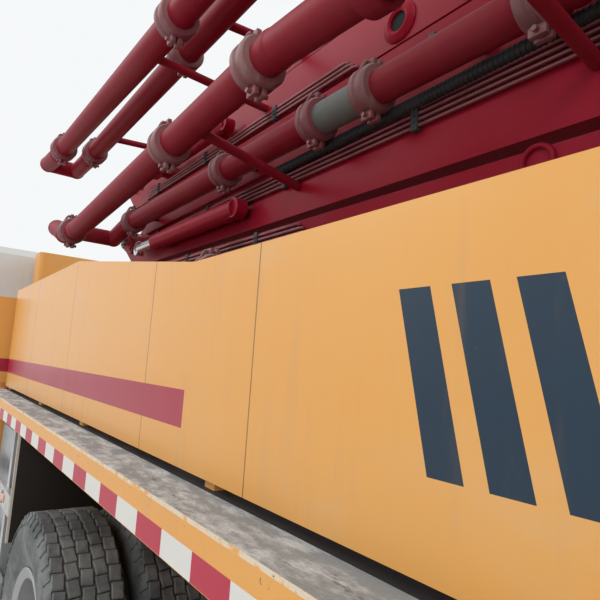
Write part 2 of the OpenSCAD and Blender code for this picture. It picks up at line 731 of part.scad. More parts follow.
// Lift cylinder: barrel with its foot eye, and rod with its head eye
module lift_barrel() {
    color(crimson) difference() {
        union() {
            across(lift_foot[0], lift_foot[1], -67, 67, 80);
            bar(lift_at(30), lift_at(lift_neck + 30), 58);
            bar(lift_at(lift_neck), lift_at(lift_barrel_l), lift_barrel_r);
        }
        bar(lift_at(lift_neck + 25), lift_at(lift_barrel_l + 10), lift_rod_r + fit);
        across(lift_foot[0], lift_foot[1], -70, 70, lift_pin + fit);
    }
}

module lift_rod() {
    color(steel) union() {
        bar(lift_at(lift_neck + 35), lift_at(lift_reach - 20), lift_rod_r);
        across(lift_eye[0], lift_eye[1], -62, 62, 72);
    }
}

// Joints B, C, D, E in turn: place, way to the rear 1 or the front -1, radius of the eyes,
// half width of the tongue, height of the fold cylinder, radius of its barrel
joints = [[pivot_b, 1, 110, 97, 2230, 75], [pivot_c, -1, 95, 82, 2600, 60],
    [pivot_d, 1, 90, 70, 3010, 55], [pivot_e, -1, 80, 55, 3260, 45]];

// The outer end of arm n: two ears that hold the joint's pin, below it
module fork(n, low, high) {
    j = joints[n - 1];
    d = j[1];
    both() difference() {
        union() {
            across(j[0][0], j[0][1], j[3] + gap, arm_w[n - 1] / 2, j[2]);
            side_plate([[j[0][0] - d * 500, low], [j[0][0] - d * 500, high],
                [j[0][0] - d * j[2] * 0.5, j[0][1] + j[2] * 0.86],
                [j[0][0] + d * j[2] * 0.86, j[0][1] - j[2] * 0.5],
                [j[0][0] - d * 290, low]], j[3] + gap, arm_w[n - 1] / 2);
        }
        across(j[0][0], j[0][1], 0, 400, pin_r + fit);
    }
}

// The root of arm n + 1: a tongue above the pin, the pin itself and the rocker of the fold cylinder
module tongue(n, low, high) {
    j = joints[n - 1];
    d = j[1];
    r = j[2] - 10;
    side = arm_w[n - 1] / 2 + gap;
    union() {
        across(j[0][0], j[0][1], -j[3], j[3], r);
        side_plate([[j[0][0] - d * 450, high], [j[0][0] - d * 450, low],
            [j[0][0] - d * r * 0.5, j[0][1] - r * 0.86], [j[0][0] + d * r * 0.86, j[0][1] + r * 0.5],
            [j[0][0] - d * 300, high]], -j[3], j[3]);
        across(j[0][0], j[0][1], -side - 20, side + 25, pin_r);
        difference() {
            link(j[0], j[0] + [-d * 230, -110], j[2] * 0.75, 45, side, side + 25);
            across(j[0][0] - d * 230, j[0][1] - 110, side - 1, side + 26, 22);
        }
    }
}

// Barrel of the fold cylinder that stands on the left of arm n, with its two saddles
module fold_barrel(n) {
    j = joints[n - 1];
    d = j[1];
    s = j[0][0];
    w = arm_w[n - 1] / 2;
    ends = [min(s - d * 2300, s - d * 1000), max(s - d * 2300, s - d * 1000)];
    difference() {
        union() {
            along(ends[0], ends[1], w + 80, j[4], j[5]);
            for (e = [ends[0] + 120, ends[1] - 180]) block(e, e + 60, w - 5, w + 80, j[4] - 50, j[4] + 50);
            across(d > 0 ? ends[0] : ends[1], j[4], w + 45, w + 115, j[5]);
        }
        along(d > 0 ? ends[0] + 100 : ends[0] - 5, d > 0 ? ends[1] + 5 : ends[1] - 100, w + 80, j[4],
            j[5] - 22 + fit);
    }
}

// Rod of arm n's fold cylinder with its eye
module fold_rod(n) {
    j = joints[n - 1];
    d = j[1];
    s = j[0][0];
    w = arm_w[n - 1] / 2;
    ends = [min(s - d * 2150, s - d * 640), max(s - d * 2150, s - d * 640)];
    color(steel) difference() {
        union() {
            along(ends[0], ends[1], w + 80, j[4], j[5] - 22);
            across(s - d * 620, j[4], w + 50, w + 110, j[5]);
        }
        across(s - d * 620, j[4], w, w + 200, 22);
    }
}

// Box body of an arm from a table of its front and rear ends: [station, bottom, top]
module arm_box(front, rear, w) {
    side_plate([[front[0], front[1]], [front[0], front[2]], [rear[0], rear[2]], [rear[0], rear[1]]],
        -w / 2, w / 2);
}

module arm_1() {
    color(crimson) {
        difference() {
            union() {
                side_plate([[3430, 2330], [3600, 2375], [5200, 2440], [9000, 2415],
                    [pivot_b[0] - 300, 2390], [pivot_b[0] - 300, 2090], [pivot_b[0] - 700, 1980],
                    [6200, 1980], [5700, 2010], [4700, 2060],
                    [3700, 2170], [3430, 2190]], -arm_w[0] / 2, arm_w[0] / 2);
                across(pivot_a_s, pivot_a_z, -arm_w[0] / 2, arm_w[0] / 2, 125);
                both() link(lift_eye, lift_eye + [0, 200], 80, 160, 72, 112);
                fold_barrel(1);
                fork(1, 2090, 2390);
            }
            across(pivot_a_s, pivot_a_z, -400, 400, root_pin + fit);
            across(lift_eye[0], lift_eye[1], -200, 200, lift_pin);
        }
    }
}

// Ends of arms 2 to 5: front [station, bottom, top], rear [station, bottom, top]
arm_ends = [[[pivot_c[0] + 300, 2490, 2725], [pivot_b[0] - 400, 2470, 2850]],
    [[pivot_c[0] + 400, 2785, 3085], [pivot_d[0] - 300, 2880, 3150]],
    [[pivot_e[0] + 300, 3120, 3385], [pivot_d[0] - 400, 3188, 3450]],
    [[pivot_e[0] + 400, 3425, 3620], [pivot_e[0] + 6850, 3490, 3640]]];

module arm_2() {
    color(crimson) union() {
        arm_box(arm_ends[0][0], arm_ends[0][1], arm_w[1]);
        tongue(1, arm_ends[0][1][1], arm_ends[0][1][2]);
        fork(2, arm_ends[0][0][1], arm_ends[0][0][2]);
        fold_barrel(2);
    }
}

module arm_3() {
    color(crimson) union() {
        arm_box(arm_ends[1][0], arm_ends[1][1], arm_w[2]);
        tongue(2, arm_ends[1][0][1], arm_ends[1][0][2]);
        fork(3, arm_ends[1][1][1], arm_ends[1][1][2]);
        fold_barrel(3);
    }
}

module arm_4() {
    color(crimson) union() {
        arm_box(arm_ends[2][0], arm_ends[2][1], arm_w[3]);
        tongue(3, arm_ends[2][1][1], arm_ends[2][1][2]);
        fork(4, arm_ends[2][0][1], arm_ends[2][0][2]);
        fold_barrel(4);
    }
}

module arm_5() {
    color(crimson) union() {
        arm_box(arm_ends[3][0], arm_ends[3][1], arm_w[4]);
        tongue(4, arm_ends[3][0][1], arm_ends[3][0][2]);
    }
}

// A delivery pipe through points of [station, side, height], with couplings at the stations given
// and brackets back to an arm's side: [station, height on the arm]
module delivery_pipe(path, couplings, brackets, side) {
    function at(s, k) = lookup(s, [for (p = path) [p[0], p[k]]]);
    color(pipe_red) union() {
        pipe_run(path);
        for (s = couplings) bar([s - 35, at(s - 35, 1), at(s - 35, 2)], [s + 35, at(s + 35, 1), at(s + 35, 2)],
            coupling_r);
        for (b = brackets) let(rise = at(b[0], 2) - b[1], reach = at(b[0], 1) - side)
            bar([b[0], side + seat + bracket_r * abs(rise) / norm([rise, reach]), b[1]],
                [b[0], at(b[0], 1), at(b[0], 2)], bracket_r);
    }
}

// Halfway lines of the swivels between two pipes on a joint's axis
swivel_y = [460, (pipe_y[0] + pipe_y[1]) / 2, (pipe_y[1] + pipe_y[2]) / 2, 690,
    (pipe_y[3] + pipe_y[4]) / 2];

module pipe_1() {
    y = pipe_y[0];
    end = pivot_b[0];
    delivery_pipe([[pivot_a_s, swivel_y[0] + seat, pivot_a_z], [pivot_a_s, y, pivot_a_z],
        [3900, y, 2130], [end - 700, y, 2130], [end - 350, y, 2250], [end, y, pivot_b[1]],
        [end, swivel_y[1] - seat / 2, pivot_b[1]]],
        [4300, 7300, end - 1000],
        [[4600, 2200], [6200, 2100], [7900, 2100], [9100, 2100], [end - 520, 2062]], arm_w[0] / 2);
}

module pipe_2() {
    y = pipe_y[1];
    start = pivot_b[0];
    end = pivot_c[0];
    delivery_pipe([[start, swivel_y[1] + seat / 2, pivot_b[1]], [start, y, pivot_b[1]],
        [start - 400, y, 2600], [8200, y, 2800], [end + 800, y, 2630], [end + 350, y, 2660],
        [end, y, pivot_c[1]], [end, swivel_y[2] + seat / 2, pivot_c[1]]],
        [end + 600, 7250, 8700, start - 700], [[7500, 2630], [9000, 2640], [start - 1100, 2600]],
        arm_w[1] / 2);
}

module pipe_3() {
    y = pipe_y[2];
    out = y + 150;
    start = pivot_c[0];
    end = pivot_d[0];
    delivery_pipe([[start, swivel_y[2] - seat / 2, pivot_c[1]], [start, y, pivot_c[1]],
        [start + 400, y, 2840], [9000, y, 2840], [end - 950, out, 2900], [end - 350, out, 3080],
        [end, out, pivot_d[1]], [end, swivel_y[3] - seat / 2, pivot_d[1]]],
        [start + 550, 6900, 8900, end - 1050], [[start + 700, 2870], [7000, 2880], [8600, 2900]],
        arm_w[2] / 2);
}

module pipe_4() {
    y = pipe_y[3];
    start = pivot_d[0];
    end = pivot_e[0];
    delivery_pipe([[start, swivel_y[3] + seat / 2, pivot_d[1]], [start, y, pivot_d[1]],
        [start - 450, y, 3320], [7350, y, 3300], [end + 450, y, 3400], [end, y, pivot_e[1]],
        [end, swivel_y[4] + seat / 2, pivot_e[1]]],
        [end + 650, 7400, 9000, start - 650], [[7000, 3270], [8600, 3290], [start - 1150, 3300]],
        arm_w[3] / 2);
}

module pipe_5() {
    y = pipe_y[4];
    start = pivot_e[0];
    outlet = start + 7100;
    delivery_pipe([[start, swivel_y[4] - seat / 2, pivot_e[1]], [start, y, pivot_e[1]],
        [start + 450, y, 3430], [outlet - 850, y, 3520], [outlet - 450, 300, 3560], [outlet, 300, 3560]],
        [start + 650, 6900, 8800, outlet - 950, outlet - 35],
        [[start + 1050, 3480], [7300, 3500], [9200, 3520]], arm_w[4] / 2);
}

jack_rod_r = jack_r - 25;

// Front leg, left side, folded to the rear: box beam on its hinge with the jack's housing
module front_leg() {
    color(orange) difference() {
        union() {
            block(front_leg_s, front_jack_s, leg_y - leg_w / 2, leg_y + leg_w / 2, leg_front_z[0], leg_front_z[1]);
            upright(front_leg_s, leg_y, leg_front_z[0], leg_front_z[1], leg_w / 2);
            block(front_jack_s - 200, front_jack_s + 190, leg_y - 125, half_w - 15, leg_front_z[0], leg_front_top);
            upright(front_jack_s, leg_y, 770, leg_front_top - 40, jack_r);
        }
        upright(front_leg_s, leg_y, leg_front_z[0] - 1, leg_front_z[1] + 1, 40 + fit);
        upright(front_jack_s, leg_y, 760, leg_front_top - 110, jack_rod_r + fit);
    }
}

// Rear leg, left side, folded to the rear under the deck
module rear_leg() {
    color(orange) difference() {
        union() {
            block(rear_leg_s, rear_jack_s, leg_y - leg_w / 2, leg_y + leg_w / 2, leg_rear_z[0], leg_rear_z[1]);
            upright(rear_leg_s, leg_y, leg_rear_z[0], leg_rear_z[1], leg_w / 2);
            upright(rear_jack_s, leg_y, leg_rear_z[0], leg_rear_z[1], leg_w / 2);
            upright(rear_jack_s, leg_y, 340, 1270, jack_r);
        }
        upright(rear_leg_s, leg_y, leg_rear_z[0] - 1, leg_rear_z[1] + 1, 40 + fit);
        upright(rear_jack_s, leg_y, 330, 1220, jack_rod_r + fit);
    }
}

// Inner tube of a jack with its round foot
module jack(s, foot_z, top) {
    color(steel) union() {
        upright(s, leg_y, foot_z + 25, top, jack_rod_r);
        upright(s, leg_y, foot_z, foot_z + 30, foot_r);
    }
}

chassis_frame();
engine();
axles();
bumper();
cab_shell();
cab_glass();
cab_interior();
seats();
door();  // door_left
mirror([0, 1, 0]) door();  // door_right
door_glass();  // glass_left
mirror([0, 1, 0]) door_glass();  // glass_right
substructure();
water_box();
deck();
mudguards();
side_panels();
side_guards();
tanks();
hopper();
hopper_grate();
agitator();
pump_unit();
turret();
arm_1();
arm_2();
arm_3();
arm_4();
arm_5();
pipe_1();
pipe_2();
pipe_3();
pipe_4();
pipe_5();
lift_barrel();
lift_rod();
fold_rod(1);  // rod_b
fold_rod(2);  // rod_c
fold_rod(3);  // rod_d
fold_rod(4);  // rod_e
front_leg();  // leg_front_left
mirror([0, 1, 0]) front_leg();  // leg_front_right
rear_leg();  // leg_rear_left
mirror([0, 1, 0]) rear_leg();  // leg_rear_right
jack(front_jack_s, 700, leg_front_top - 120);  // jack_front_left
mirror([0, 1, 0]) jack(front_jack_s, 700, leg_front_top - 120);  // jack_front_right
jack(rear_jack_s, 270, 1200);  // jack_rear_left
mirror([0, 1, 0]) jack(rear_jack_s, 270, 1200);  // jack_rear_right
knuckle(axle_1);  // knuckle_1_left
mirror([0, 1, 0]) knuckle(axle_1);  // knuckle_1_right
knuckle(axle_2);  // knuckle_2_left
mirror([0, 1, 0]) knuckle(axle_2);  // knuckle_2_right
steered_wheel(axle_1);  // wheel_1_left
mirror([0, 1, 0]) steered_wheel(axle_1);  // wheel_1_right
steered_wheel(axle_2);  // wheel_2_left
mirror([0, 1, 0]) steered_wheel(axle_2);  // wheel_2_right
twin_wheel(axle_3);  // wheel_3_left
mirror([0, 1, 0]) twin_wheel(axle_3);  // wheel_3_right
twin_wheel(axle_4);  // wheel_4_left
mirror([0, 1, 0]) twin_wheel(axle_4);  // wheel_4_right
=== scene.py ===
import math

import bmesh
import bpy
from mathutils import Matrix, Vector


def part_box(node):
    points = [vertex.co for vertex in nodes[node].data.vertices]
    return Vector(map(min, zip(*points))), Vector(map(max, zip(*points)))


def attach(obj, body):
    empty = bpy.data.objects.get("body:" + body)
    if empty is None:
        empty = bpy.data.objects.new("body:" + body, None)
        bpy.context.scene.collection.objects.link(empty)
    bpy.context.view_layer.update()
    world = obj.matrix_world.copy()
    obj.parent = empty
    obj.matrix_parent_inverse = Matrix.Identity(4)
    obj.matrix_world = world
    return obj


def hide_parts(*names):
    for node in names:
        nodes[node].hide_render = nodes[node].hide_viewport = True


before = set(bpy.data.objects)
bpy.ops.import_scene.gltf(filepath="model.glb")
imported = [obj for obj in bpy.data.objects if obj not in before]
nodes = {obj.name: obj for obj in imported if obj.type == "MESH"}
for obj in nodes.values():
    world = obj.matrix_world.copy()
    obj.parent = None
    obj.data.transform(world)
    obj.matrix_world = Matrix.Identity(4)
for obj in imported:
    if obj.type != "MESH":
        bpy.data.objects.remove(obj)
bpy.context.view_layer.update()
scene = bpy.context.scene
scene.view_settings.view_transform = "Standard"
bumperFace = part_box("bumper")[1][0]


def at(station):
    return bumperFace - station  # stations are metres behind the front bumper


def spot(station, side, height):
    return Vector((at(station), side, height))


cameraSettings = {
    "place": (9.7, 1.72, 1.70),  # station, side, height
    "turn": 35.6,  # degrees from straight ahead towards the truck
    "tilt": 7.2,  # degrees up
    "roll": 3.75,
    "lens": 31.86,
    "farEnd": 300,
}


def makeCamera(s):
    turn, tilt, roll = (math.radians(s[k]) for k in ("turn", "tilt", "roll"))
    ahead = Vector((math.cos(tilt) * math.cos(turn), -math.cos(tilt) * math.sin(turn), math.sin(tilt)))
    level = Vector((-math.sin(turn), -math.cos(turn), 0))
    upright = level.cross(ahead)
    right = level * math.cos(roll) + upright * math.sin(roll)
    up = upright * math.cos(roll) - level * math.sin(roll)
    camera = bpy.data.objects.new("camera", bpy.data.cameras.new("camera"))
    axes = Matrix((right, up, -ahead)).transposed().to_4x4()
    camera.matrix_world = Matrix.Translation(spot(*s["place"])) @ axes
    camera.data.lens = s["lens"]
    camera.data.clip_end = s["farEnd"]
    scene.collection.objects.link(camera)
    scene.camera = camera


makeCamera(cameraSettings)
print("camera ready")


# one socket of a shader, so that maths on it reads as Python
class Wire:
    def __init__(self, tree, socket):
        self.tree = tree
        self.socket = socket

    def maths(self, operation, first, second):
        node = self.tree.nodes.new("ShaderNodeMath")
        node.operation = operation
        for slot, value in zip(node.inputs, (first, second)):
            feed(self.tree, slot, value)
        return Wire(self.tree, node.outputs[0])

    def __add__(self, other):
        return self.maths("ADD", self, other)

    def __sub__(self, other):
        return self.maths("SUBTRACT", self, other)

    def __rsub__(self, other):
        return self.maths("SUBTRACT", other, self)

    def __mul__(self, other):
        return self.maths("MULTIPLY", self, other)

    def __mod__(self, other):
        return self.maths("FLOORED_MODULO", self, other)

    def __gt__(self, other):
        return self.maths("GREATER_THAN", self, other)

    def __lt__(self, other):
        return self.maths("LESS_THAN", self, other)

    def __abs__(self):
        return self.maths("ABSOLUTE", self, 0)

    __radd__ = __add__
    __rmul__ = __mul__


def feed(tree, slot, value):
    if isinstance(value, Wire):
        tree.links.new(value.socket, slot)
    elif slot.type == "RGBA" and len(value) == 3:
        slot.default_value = (*value, 1)
    else:
        slot.default_value = value


class Finish:
    # a material with its shader, and the nodes that feed it
    def __init__(self, name, sockets):
        self.material = bpy.data.materials.new(name)
        self.material.use_nodes = True
        self.tree = self.material.node_tree
        self.shader = self.tree.nodes["Principled BSDF"]
        self.place = self.add("ShaderNodeTexCoord", out="Object")
        self.set(sockets)

    def set(self, sockets):
        for name, value in sockets.items():
            feed(self.tree, self.shader.inputs[name], value)

    def add(self, kind, settings=None, sockets=None, out=0):
        node = self.tree.nodes.new(kind)
        for name, value in (settings or {}).items():
            setattr(node, name, value)
        for name, value in (sockets or {}).items():
            feed(self.tree, node.inputs[name], value)
        return Wire(self.tree, node.outputs[out])

    def noise(self, scale, detail, rough=0.55, stretch=None):
        where = self.place
        if stretch:
            where = self.add("ShaderNodeMapping", sockets={"Vector": where, "Scale": stretch})
        return self.add("ShaderNodeTexNoise", sockets={"Vector": where, "Scale": scale,
                        "Detail": detail, "Roughness": rough})

    def spread(self, value, low, high):
        # 0 below low, 1 above high, smooth between
        return self.add("ShaderNodeMapRange", {"interpolation_type": "SMOOTHSTEP"},
                        {"Value": value, "From Min": low, "From Max": high})

    def patches(self, scale, detail, rough, low, high, stretch=None):
        return self.spread(self.noise(scale, detail, rough, stretch), low, high)

    def axis(self, letter):
        return self.add("ShaderNodeSeparateXYZ", sockets={"Vector": self.place}, out=letter)

    def facing(self, letter):
        normal = self.add("ShaderNodeNewGeometry", out="Normal")
        return self.add("ShaderNodeSeparateXYZ", sockets={"Vector": normal}, out=letter)

    def mix(self, mask, low, high):
        # sockets 6 and 7 are the two colours of a Mix node, output 2 is the mixed one
        return self.add("ShaderNodeMix", {"data_type": "RGBA"}, {"Factor": mask, 6: low, 7: high}, 2)

    def over(self, colour, mask, tint):
        # a tint, given as its share and colour, over another colour where the mask is
        share, other = tint
        return self.mix(mask * share, colour, other)

    def bump(self, height, strength, distance):
        return self.add("ShaderNodeBump", sockets={"Height": height, "Strength": strength,
                        "Distance": distance}, out="Normal")


# colours as linear values
colours = {
    "orange": (0.785, 0.370, 0.085),
    "orangeFaded": (0.80, 0.42, 0.13),
    "maroon": (0.39, 0.018, 0.045),
    "crimson": (0.30, 0.004, 0.018),
    "crimsonDust": (0.36, 0.018, 0.042),
    "pipeRed": (0.235, 0.007, 0.018),
    "pipeBare": (0.27, 0.042, 0.052),
    "navy": (0.010, 0.030, 0.055),
    "tapeRed": (0.47, 0.026, 0.058),
    "tapePale": (0.72, 0.70, 0.66),
    "dust": (0.36, 0.31, 0.26),
}

# in all finishes, patches are scale, detail, roughness, the levels between which they show, and their
# stretch; a tint is its share and colour; a relief is its strength and distance
paintSettings = {
    "coatRough": 0.12,
    "clouds": (1.3, 5, 0.55, 0.38, 0.72),
    "cloudShare": 0.55,
    "cloudRough": 0.06,
    "specks": (38, 6, 0.7, 0.60, 0.74),
    "streaks": (3.0, 5, 0.62, 0.52, 0.75, (5.0, 5.0, 0.6)),
    "upward": (0.35, 0.95),  # levels of facing up
    "dustShares": (0.55, 0.30, 0.75),  # in the streaks, in the specks, on upward faces
    "dustRough": 0.45,
    "peel": (260, 2),
    "streakRelief": 0.3,
    "relief": (0.10, 0.0006),
}


def paint(name, base, faded, rough=0.32, dirt=0.35, coat=0.35, shine=0.5):
    # sprayed metal: clouds of faded colour, dust from above, fine orange peel
    s = paintSettings
    f = Finish(name, {"Roughness": rough, "Coat Weight": coat, "Coat Roughness": s["coatRough"],
                      "Specular IOR Level": shine})
    cloud = f.patches(*s["clouds"])
    speck = f.patches(*s["specks"])
    streak = f.patches(*s["streaks"])
    upward = f.spread(f.facing("Z"), *s["upward"])
    inStreaks, inSpecks, onTops = (dirt * share for share in s["dustShares"])
    f.dust = streak * inStreaks + speck * inSpecks + upward * onTops
    f.colour = f.mix(f.dust, f.mix(cloud * s["cloudShare"], base, faded), colours["dust"])
    f.set({"Base Color": f.colour,
           "Roughness": rough + f.dust * s["dustRough"] + cloud * s["cloudRough"],
           "Normal": f.bump(f.noise(*s["peel"]) + streak * s["streakRelief"], *s["relief"])})
    return f


orangeSettings = {
    "finish": {"rough": 0.34, "dirt": 0.22, "coat": 0.15, "shine": 0.35},
    "smears": (1.7, 6, 0.7, 0.50, 0.78, (1.0, 1.0, 2.5)),
    "smearTint": (0.25, (0.66, 0.48, 0.30)),
    "nicks": (21, 6, 0.8, 0.705, 0.725),
    "nickTint": (0.85, (0.09, 0.055, 0.035)),
    "seamHalf": 0.0022,
    "seamTint": (0.8, (0.16, 0.07, 0.02)),
    "dustOnMarks": 0.5,
    "stripe": (8.36, 20, 1.52, 1.62),  # rear end's station, far end ahead, bottom, top
    "bars": (9.42, 3, 0.10, 0.062, 1.56, 1.83, -0.25),  # station, count, pitch, width, bottom, top, lean
    "panelSeams": (6.05, 7.00, 8.06, 8.70, 10.10),
}


def bodyMarks(s):
    # the maroon stripe and the dark bars, as both ends, bottom, top, colour and lean
    rear, ahead, bottom, top = s["stripe"]
    stripe = (at(rear), ahead, bottom, top, colours["maroon"], 0.0)
    station, count, pitch, width, bottom, top, lean = s["bars"]
    bars = []
    for i in range(count):
        start = at(station) + pitch * i
        bars.append((start, start + width, bottom, top, colours["navy"], lean))
    return stripe, bars


def orangeMetal(s, name, marks, seams=()):
    f = paint(name, colours["orange"], colours["orangeFaded"], **s["finish"])
    x, z = f.axis("X"), f.axis("Z")
    colour = f.over(f.colour, f.patches(*s["smears"]), s["smearTint"])
    for low, high, bottom, top, tint, lean in marks:
        along = x + (z - (bottom + top) / 2) * lean
        inside = (along > low) * (along < high) * (z > bottom) * (z < top)
        colour = f.mix(inside * (1 - f.dust * s["dustOnMarks"]), colour, tint)
    colour = f.over(colour, f.patches(*s["nicks"]), s["nickTint"])
    for station in seams:
        colour = f.over(colour, abs(x - at(station)) < s["seamHalf"], s["seamTint"])
    f.set({"Base Color": colour})
    return f.material


# heights and half widths that the deck's paint changes at, its wear, and a painted shadow under the panel's
# foot
deckSettings = {
    "finish": {"rough": 0.40, "dirt": 0.3, "coat": 0.08, "shine": 0.3},
    "tape": (1.291, 1.346, 1.2495),  # bottom, top, half width
    "tapePitch": 0.30,
    "tapeStart": 50,  # moves the red fields along the truck
    "edge": (1.390, 1.2485),  # height, half width
    "chips": (30, 6, 0.75, 0.42, 0.50, (1, 1, 2.2)),
    "chipColour": (0.74, 0.63, 0.47),
    "edgeNicks": (55, 5, 0.8, 0.63, 0.67),
    "nickDepth": 0.02,
    "nickColour": (0.05, 0.04, 0.035),
    "upward": (0.5, 0.9),
    "topRough": (0.42, 0.4),  # of the sides, and more on top
    "scuffs": (9, 8, 0.72, 0.42, 0.66, (1, 2.2, 1)),
    "scuffColours": ((0.25, 0.27, 0.28), (0.60, 0.64, 0.66)),
    "grit": (120, 4, 0.7, 0.45, 0.62),
    "gritTint": (0.35, (0.33, 0.34, 0.34)),
    "cracks": (24, 7, 0.8, 0.60, 0.66, (0.35, 1.3, 1)),
    "crackTint": (0.7, (0.07, 0.07, 0.065)),
    "grime": (1.030, 1.126),  # half widths of a near-black band, painted shadow in the gap under the panel's foot
    # share and colour of the painted shadow under the panel's foot
    "gapShadowTint": (0.97, (0.010, 0.009, 0.008)),
    "wallTop": 1.288,
    "wallEdge": 1.226,
    "wallColours": ((0.026, 0.021, 0.018), (0.60, 0.54, 0.45)),
}


def deckMetal(s):
    # orange fascia over the reflective tape, scuffed grey walk-on top, dark walls over the wheels, and a
    # painted shadow on the top under the panel's foot
    f = paint("deckPaint", colours["orange"], colours["orangeFaded"], **s["finish"])
    x, z = f.axis("X"), f.axis("Z")
    side = abs(f.axis("Y"))
    low, high, face = s["tape"]
    band = (z < high) * (z > low) * (side > face)
    red = ((x + s["tapeStart"]) % s["tapePitch"]) < s["tapePitch"] / 2
    colour = f.mix(band, f.colour, f.mix(red, colours["tapePale"], colours["tapeRed"]))
    height, outside = s["edge"]
    chipped = f.patches(*s["chips"])
    colour = f.mix((z > height) * (side > outside) * chipped, colour, s["chipColour"])
    nicks = f.patches(*s["edgeNicks"])
    colour = f.mix((z > height - s["nickDepth"]) * (side > outside) * nicks, colour, s["nickColour"])
    # painted shadow: a near-black band on the deck's top under the panel's foot, where the gap below the
    # panel is in shade
    inner, outer = s["grime"]
    grime = (side < outer) * (side > inner)
    worn = f.mix(f.patches(*s["scuffs"]), *s["scuffColours"])
    worn = f.over(worn, f.patches(*s["grit"]), s["gritTint"])
    worn = f.over(worn, f.patches(*s["cracks"]), s["crackTint"])
    # the painted shadow goes over the scuffed top colour
    worn = f.over(worn, grime, s["gapShadowTint"])
    top = f.spread(f.facing("Z"), *s["upward"])
    colour = f.mix(top, colour, worn)
    wall = f.mix(side > s["wallEdge"], *s["wallColours"])
    colour = f.mix(z < s["wallTop"], colour, wall)
    rough, roughTop = s["topRough"]
    f.set({"Base Color": colour, "Roughness": rough + top * roughTop})
    return f.material


# tread and sidewall as clean and dusty colours
rubberSettings = {
    "shine": 0.25,
    "dusty": (7, 6, 0.65, 0.35, 0.7),
    "grain": (150, 4, 0.6),
    "sidewall": (0.45, 0.90),
    "sidewallShare": 0.8,
    "treadColours": ((0.070, 0.074, 0.075), (0.20, 0.205, 0.20)),
    "sidewallColours": ((0.10, 0.108, 0.108), (0.25, 0.265, 0.26)),
    "rough": (0.74, 0.18),
    "relief": (0.25, 0.0008),
}


def rubber(s):
    f = Finish("tyreRubber", {"Specular IOR Level": s["shine"]})
    dusty = f.patches(*s["dusty"])
    sidewall = f.spread(abs(f.facing("Y")), *s["sidewall"])
    tread, flank = f.mix(dusty, *s["treadColours"]), f.mix(dusty, *s["sidewallColours"])
    rough, roughDust = s["rough"]
    f.set({"Base Color": f.mix(sidewall * s["sidewallShare"], tread, flank),
           "Roughness": rough + dusty * roughDust, "Normal": f.bump(f.noise(*s["grain"]), *s["relief"])})
    return f.material


# bare metal is two colours under a brushed grain that runs along one axis; plastic has a haze
plainSettings = {
    "metallic": 0.85,
    "brushed": (22, 4, 0.6),
    "stains": (3.5, 6, 0.65, 0.48, 0.72),
    "stainShares": (0.6, 0.25),  # of the stains, of the grain
    "stainRough": 0.22,
    "metalRelief": (0.12, 0.0005),
    "haze": (5, 5, 0.55, 0.4, 0.75),
    "hazeShare": 0.4,
    "hazeRough": 0.12,
    "hazeColour": (1.8, 0.02),  # how many times the plastic's colour, and how much added
    "plasticRelief": (0.2, 0.0005),
    "cloth": {"Roughness": 0.9, "Sheen Weight": 0.3},
    "weaveScale": 420.0,
    "weaveColours": ((0.05, 0.052, 0.06), (0.13, 0.13, 0.145)),
    "weaveRelief": (0.4, 0.001),
    "glass": {"Base Color": (0.35, 0.42, 0.44), "Transmission Weight": 0.75, "IOR": 1.45},
    "glassStreaks": (4, 5, 0.55, 0.5, 0.8),
    "glassRough": (0.03, 0.10),
}


def bareMetal(name, base, dark, rough, grain=(1, 1, 24)):
    s = plainSettings
    f = Finish(name, {"Metallic": s["metallic"]})
    brushed = f.noise(*s["brushed"], grain)
    stain = f.patches(*s["stains"])
    inStains, inGrain = s["stainShares"]
    f.set({"Base Color": f.mix(stain * inStains + brushed * inGrain, base, dark),
           "Roughness": rough + stain * s["stainRough"],
           "Normal": f.bump(brushed, *s["metalRelief"])})
    return f.material


def plasticSkin(name, base, rough=0.55, grain=420):
    s = plainSettings
    f = Finish(name, {})
    haze = f.patches(*s["haze"])
    times, plus = s["hazeColour"]
    hazy = tuple(min(1, c * times + plus) for c in base)
    f.set({"Base Color": f.mix(haze * s["hazeShare"], base, hazy),
           "Roughness": rough + haze * s["hazeRough"],
           "Normal": f.bump(f.noise(grain, 2), *s["plasticRelief"])})
    return f.material


def wovenCloth(s):
    f = Finish("seatCloth", s["cloth"])
    weave = f.add("ShaderNodeTexVoronoi", sockets={"Vector": f.place, "Scale": s["weaveScale"]})
    f.set({"Base Color": f.mix(weave, *s["weaveColours"]), "Normal": f.bump(weave, *s["weaveRelief"])})
    return f.material


def windowGlass(s):
    f = Finish("windowGlass", s["glass"])
    rough, roughStreaks = s["glassRough"]
    f.set({"Roughness": rough + f.patches(*s["glassStreaks"]) * roughStreaks})
    return f.material


cabSettings = {
    "finish": {"base": (0.70, 0.70, 0.68), "faded": (0.62, 0.61, 0.58), "rough": 0.30, "dirt": 0.22},
    "louvres": (0.066, 0.080, 1.29, 1.90, 0.702),  # stations of front and back, bottom, top, half width
    "mirrors": 1.262,  # half width beyond which all is dark
    "bumperFoot": 0.455,  # height below which the bumper is dark
    "plasticTint": (0.97, (0.035, 0.036, 0.038)),
}


def cabMetal(s, name, bumper):
    # white paint with the cab's louvres and mirrors, or the bumper's foot, in dark plastic
    f = paint(name, **s["finish"])
    x, z = f.axis("X"), f.axis("Z")
    side = abs(f.axis("Y"))
    if bumper:
        dark = z < s["bumperFoot"]
    else:
        first, last, low, high, half = s["louvres"]
        slots = (x < at(first)) * (x > at(last)) * (z > low) * (z < high) * (side < half)
        dark = slots + (side > s["mirrors"])
    f.set({"Base Color": f.over(f.colour, dark, s["plasticTint"])})
    return f.material


